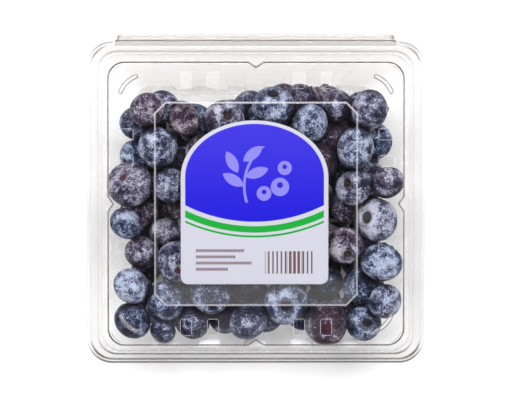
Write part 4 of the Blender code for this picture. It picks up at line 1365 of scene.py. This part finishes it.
# the first is painted contact shade, near black, where berries touch
PAINTED_CONTACT_SHADE, LOBE_TIP, SHEEN = rgb(0.003, 0.003, 0.008), rgb(0.16, 0.15, 0.16), rgb(0.60, 0.66, 0.80)
STALK_SCAR, SCAR_HALO = rgb(0.055, 0.016, 0.013), rgb(0.060, 0.020, 0.035)


# %% The finish of the berries
def berry_finish():
    fruit = Finish("blueberry_skin")
    places = fruit.places()
    along, bloom, plum = fruit.mark("along"), fruit.mark("bloom"), fruit.mark("plum")
    ring, scar = fruit.mark("ring"), fruit.mark("scar")
    broad = fruit.noise(places, 0.15, 2.0, 0.5)
    patch = fruit.noise(places, 0.30, 4.0, 0.60, 0.3)
    fine = fruit.noise(places, 1.0, 5.0, 0.74, 0.2)
    speck = fruit.noise(places, 2.6, 3.0, 0.65)
    crease = fruit.noise(places, 0.42, 3.0, 0.55, 1.2) - 0.5
    crease = 1.0 - (crease * crease * 500.0).smaller(1.0)

    crown_ring = along.ramp(0.36, 0.44) * (1.0 - along.ramp(0.50, 0.72))
    stem_ring = (2.0 - along).ramp(0.16, 0.20) * (1.0 - (2.0 - along).ramp(0.24, 0.42))
    touch = fruit.mark("touch")
    tone = (broad - 0.5) * 1.6 + (patch - 0.5) * 2.2 + (fine - 0.5) * 3.1 + (speck - 0.5) * 2.7
    tone = tone - 0.45 * crease * fine.ramp(0.42, 0.60)
    # near a touching berry the bloom thins: partly rubbed bloom, partly painted shade
    tone = tone + bloom * 1.20 - 0.01 - 0.75 * touch.power(1.5)
    tone = tone + ring * 0.45 * crown_ring + ring * 0.4 * stem_ring

    skin = fruit.mix(plum * (0.5 + broad), *BARE_SKIN)
    dusty = fruit.mix(plum * (0.3 + broad), *THIN_BLOOM)
    pale = fruit.mix(plum * broad, *THICK_BLOOM)
    colour = fruit.mix(tone.ramp(-0.04, 0.50), skin, dusty)
    cover = tone.ramp(0.44, 1.02)
    colour = fruit.mix(cover, colour, pale)

    # painted shade: darker towards black where another berry touches
    colour = fruit.mix(touch.power(2.0) * 0.7, colour, PAINTED_CONTACT_SHADE)
    hollow = 1.0 - along.ramp(0.20, 0.29)
    colour = fruit.mix(hollow * 0.93, colour, fruit.mix(plum, *CROWN_HOLLOW))
    lobe_tip = along.ramp(0.27, 0.31) * (1.0 - along.ramp(0.345, 0.37))
    colour = fruit.mix(lobe_tip * 0.35, colour, LOBE_TIP)
    stem = (1.0 - (2.0 - along).ramp(0.12, 0.17)) * scar
    colour = fruit.mix(stem * 0.95, colour, STALK_SCAR)
    halo = (1.0 - (2.0 - along).ramp(0.10, 0.50)) * scar * 0.35
    colour = fruit.mix(halo, colour, SCAR_HALO)

    relief = fruit.node("ShaderNodeBump", {}, {"Strength": 0.9, "Distance": 0.6 * MM,
                                               "Height": 0.5 * patch + 0.6 * fine + 0.3 * speck
                                               - 0.25 * crease})
    surface = fruit.node("ShaderNodeBsdfPrincipled", {},
                         {"Base Color": colour, "Roughness": 0.40 + 0.34 * cover,
                          "Specular IOR Level": 0.07, "Sheen Weight": 0.03,
                          "Sheen Roughness": 0.5, "Sheen Tint": SHEEN,
                          "Normal": relief})
    return fruit.done(surface)


# %% [markdown]
# The fruit becomes two pieces: what lies on top is turned finely, the rest less so.

# %% Join the berries
LOOKS_SEED = 23
FINE, COARSE = (50, 26), (35, 18)    # segments round a berry, rings of its body

dice = random.Random(LOOKS_SEED)
looks = berry_looks(heap, dice)
skin = berry_finish()
split = len(heap) - top_count
on_top = join_berries("berries_on_top", heap[split:], looks[split:], *FINE, dice)
below = join_berries("berries_below", heap[:split], looks[:split], *COARSE, dice)
new_piece("berries_on_top", on_top, "tray", skin, "berry_skin", ["berries"])
new_piece("berries_below", below, "tray", skin, "berry_skin")

# %% [markdown]
# ## The table
# The pack lies on a pale sweep of paper. It glows a little in two places: far away, where a sweep
# rises and fades into the room, and under the pack's front, where the glow is painted light that
# lifts the shade there. A flat sheet with a bit of emission does both without a bent mesh.

# %% The table
TABLE_HALF = 4.0
TABLE_GREYS = grey(0.65), grey(0.68)
SWEEP_FAR, SWEEP_GLOW = (350.0, 1400.0), 0.40    # distances in mm
# painted light: a glow under the pack's front that lifts its shade
PAINTED_LIGHT_UNDER_FRONT = 0.27
FILL_START, FILL_STOP, FILL_SIDE = (-32.0, -44.0), (-63.0, -46.0), (66.0, 44.0)


def pale_table():
    paper = Finish("pale_table")
    places = paper.places()
    cloud = paper.noise(places, 0.01, 2.0)
    colour = paper.mix(cloud, *TABLE_GREYS)
    away = paper.node("ShaderNodeVectorMath", {"operation": "LENGTH"}, {0: places},
                      output="Value")
    axes = paper.node("ShaderNodeSeparateXYZ", {}, {0: places})
    x, y = axes.output("X"), axes.output("Y")
    # painted light under the pack's front
    front = y.ramp(*FILL_START) * y.ramp(*FILL_STOP) * x.size().ramp(*FILL_SIDE)
    glow = paper.mix(away.ramp(*SWEEP_FAR, 0.0, SWEEP_GLOW) + PAINTED_LIGHT_UNDER_FRONT * front,
                     grey(0.0), grey(1.0))
    surface = paper.node("ShaderNodeBsdfPrincipled", {},
                         {"Base Color": colour, "Roughness": 0.6, "Specular IOR Level": 0.2,
                          "Emission Color": glow, "Emission Strength": 1.0})
    return paper.done(surface)


table_mesh = bpy.data.meshes.new("table")
table_mesh.from_pydata([(TABLE_HALF * x, TABLE_HALF * y, 0.0)
                        for x, y in ((-1, -1), (1, -1), (1, 1), (-1, 1))], [], [(0, 1, 2, 3)])
table_mesh.materials.append(pale_table())
table = bpy.data.objects.new("table", table_mesh)
bpy.context.scene.collection.objects.link(table)
print("the table is {:.0f} m wide".format(2 * TABLE_HALF))

# %% [markdown]
# ## Lamps and room
# A large soft lamp stands high behind the pack, so that its shadow falls a little to the
# front, and weaker ones fill from the sides and the front. The room is grey, darker
# overhead, which gives the clear sheet something to mirror.

# %% The lamps and the room
LAMPS = (
    # name, place and size in metres, power in watts
    ("key", (-0.03, 0.36, 0.92), (0.8, 0.40), 14.5),
    ("left", (-0.95, 0.10, 0.50), (0.4, 0.8), 4.5),
    ("right", (0.95, 0.10, 0.50), (0.4, 0.8), 4.5),
    ("front", (0.0, -0.95, 0.42), (0.9, 0.3), 3.5),
)
LAMP_AIM = Vector((0.0, 0.0, 0.02))
HORIZON, OVERHEAD = grey(0.55), grey(0.16)

for name, place, size, power in LAMPS:
    light = bpy.data.lights.new(name, "AREA")
    light.shape = "RECTANGLE"
    light.size, light.size_y = size
    light.energy = power
    lamp = bpy.data.objects.new(name, light)
    lamp.location = place
    lamp.rotation_euler = (LAMP_AIM - Vector(place)).to_track_quat("-Z", "Y").to_euler()
    bpy.context.scene.collection.objects.link(lamp)

room = Finish("room", "worlds", "ShaderNodeOutputWorld")
look = room.node("ShaderNodeTexCoord", output="Generated")
upward = room.node("ShaderNodeSeparateXYZ", {}, {0: look}, output="Z")
bpy.context.scene.world = room.done(room.node(
    "ShaderNodeBackground", {}, {"Color": room.mix(upward, HORIZON, OVERHEAD), "Strength": 1.0}))
print("{} lamps, {:.1f} W in all".format(len(LAMPS), sum(lamp[3] for lamp in LAMPS)))

# %% [markdown]
# ## The camera
# The camera looks straight down from well above, so that the pack shows as a plan with
# hardly any perspective. It leans very slightly towards the hinge.

# %% The camera
CAMERA_AWAY = 0.86
CAMERA_TARGET = Vector((0.0001, -0.00043, FLANGE_TOP * MM))
LEAN_BACK, LEAN_LEFT = math.radians(2.0), math.radians(0.5)
VIEW_WIDTH = 0.1761        # what the frame takes in at the height of the rim

camera = bpy.data.objects.new("camera", bpy.data.cameras.new("camera"))
bpy.context.scene.collection.objects.link(camera)
away = Vector((-math.sin(LEAN_LEFT), math.sin(LEAN_BACK), 1.0)).normalized()
camera.location = CAMERA_TARGET + away * CAMERA_AWAY
side = Vector((0.0, 1.0, 0.0)).cross(away).normalized()
upward = away.cross(side)
camera.rotation_euler = Matrix((side, upward, away)).transposed().to_euler()
camera.data.lens = camera.data.sensor_width * CAMERA_AWAY / VIEW_WIDTH
camera.data.clip_start = 0.01
bpy.context.scene.camera = camera
bpy.context.scene.view_settings.view_transform = "Standard"
print("lens {:.0f} mm at {:.2f} m".format(camera.data.lens, CAMERA_AWAY))
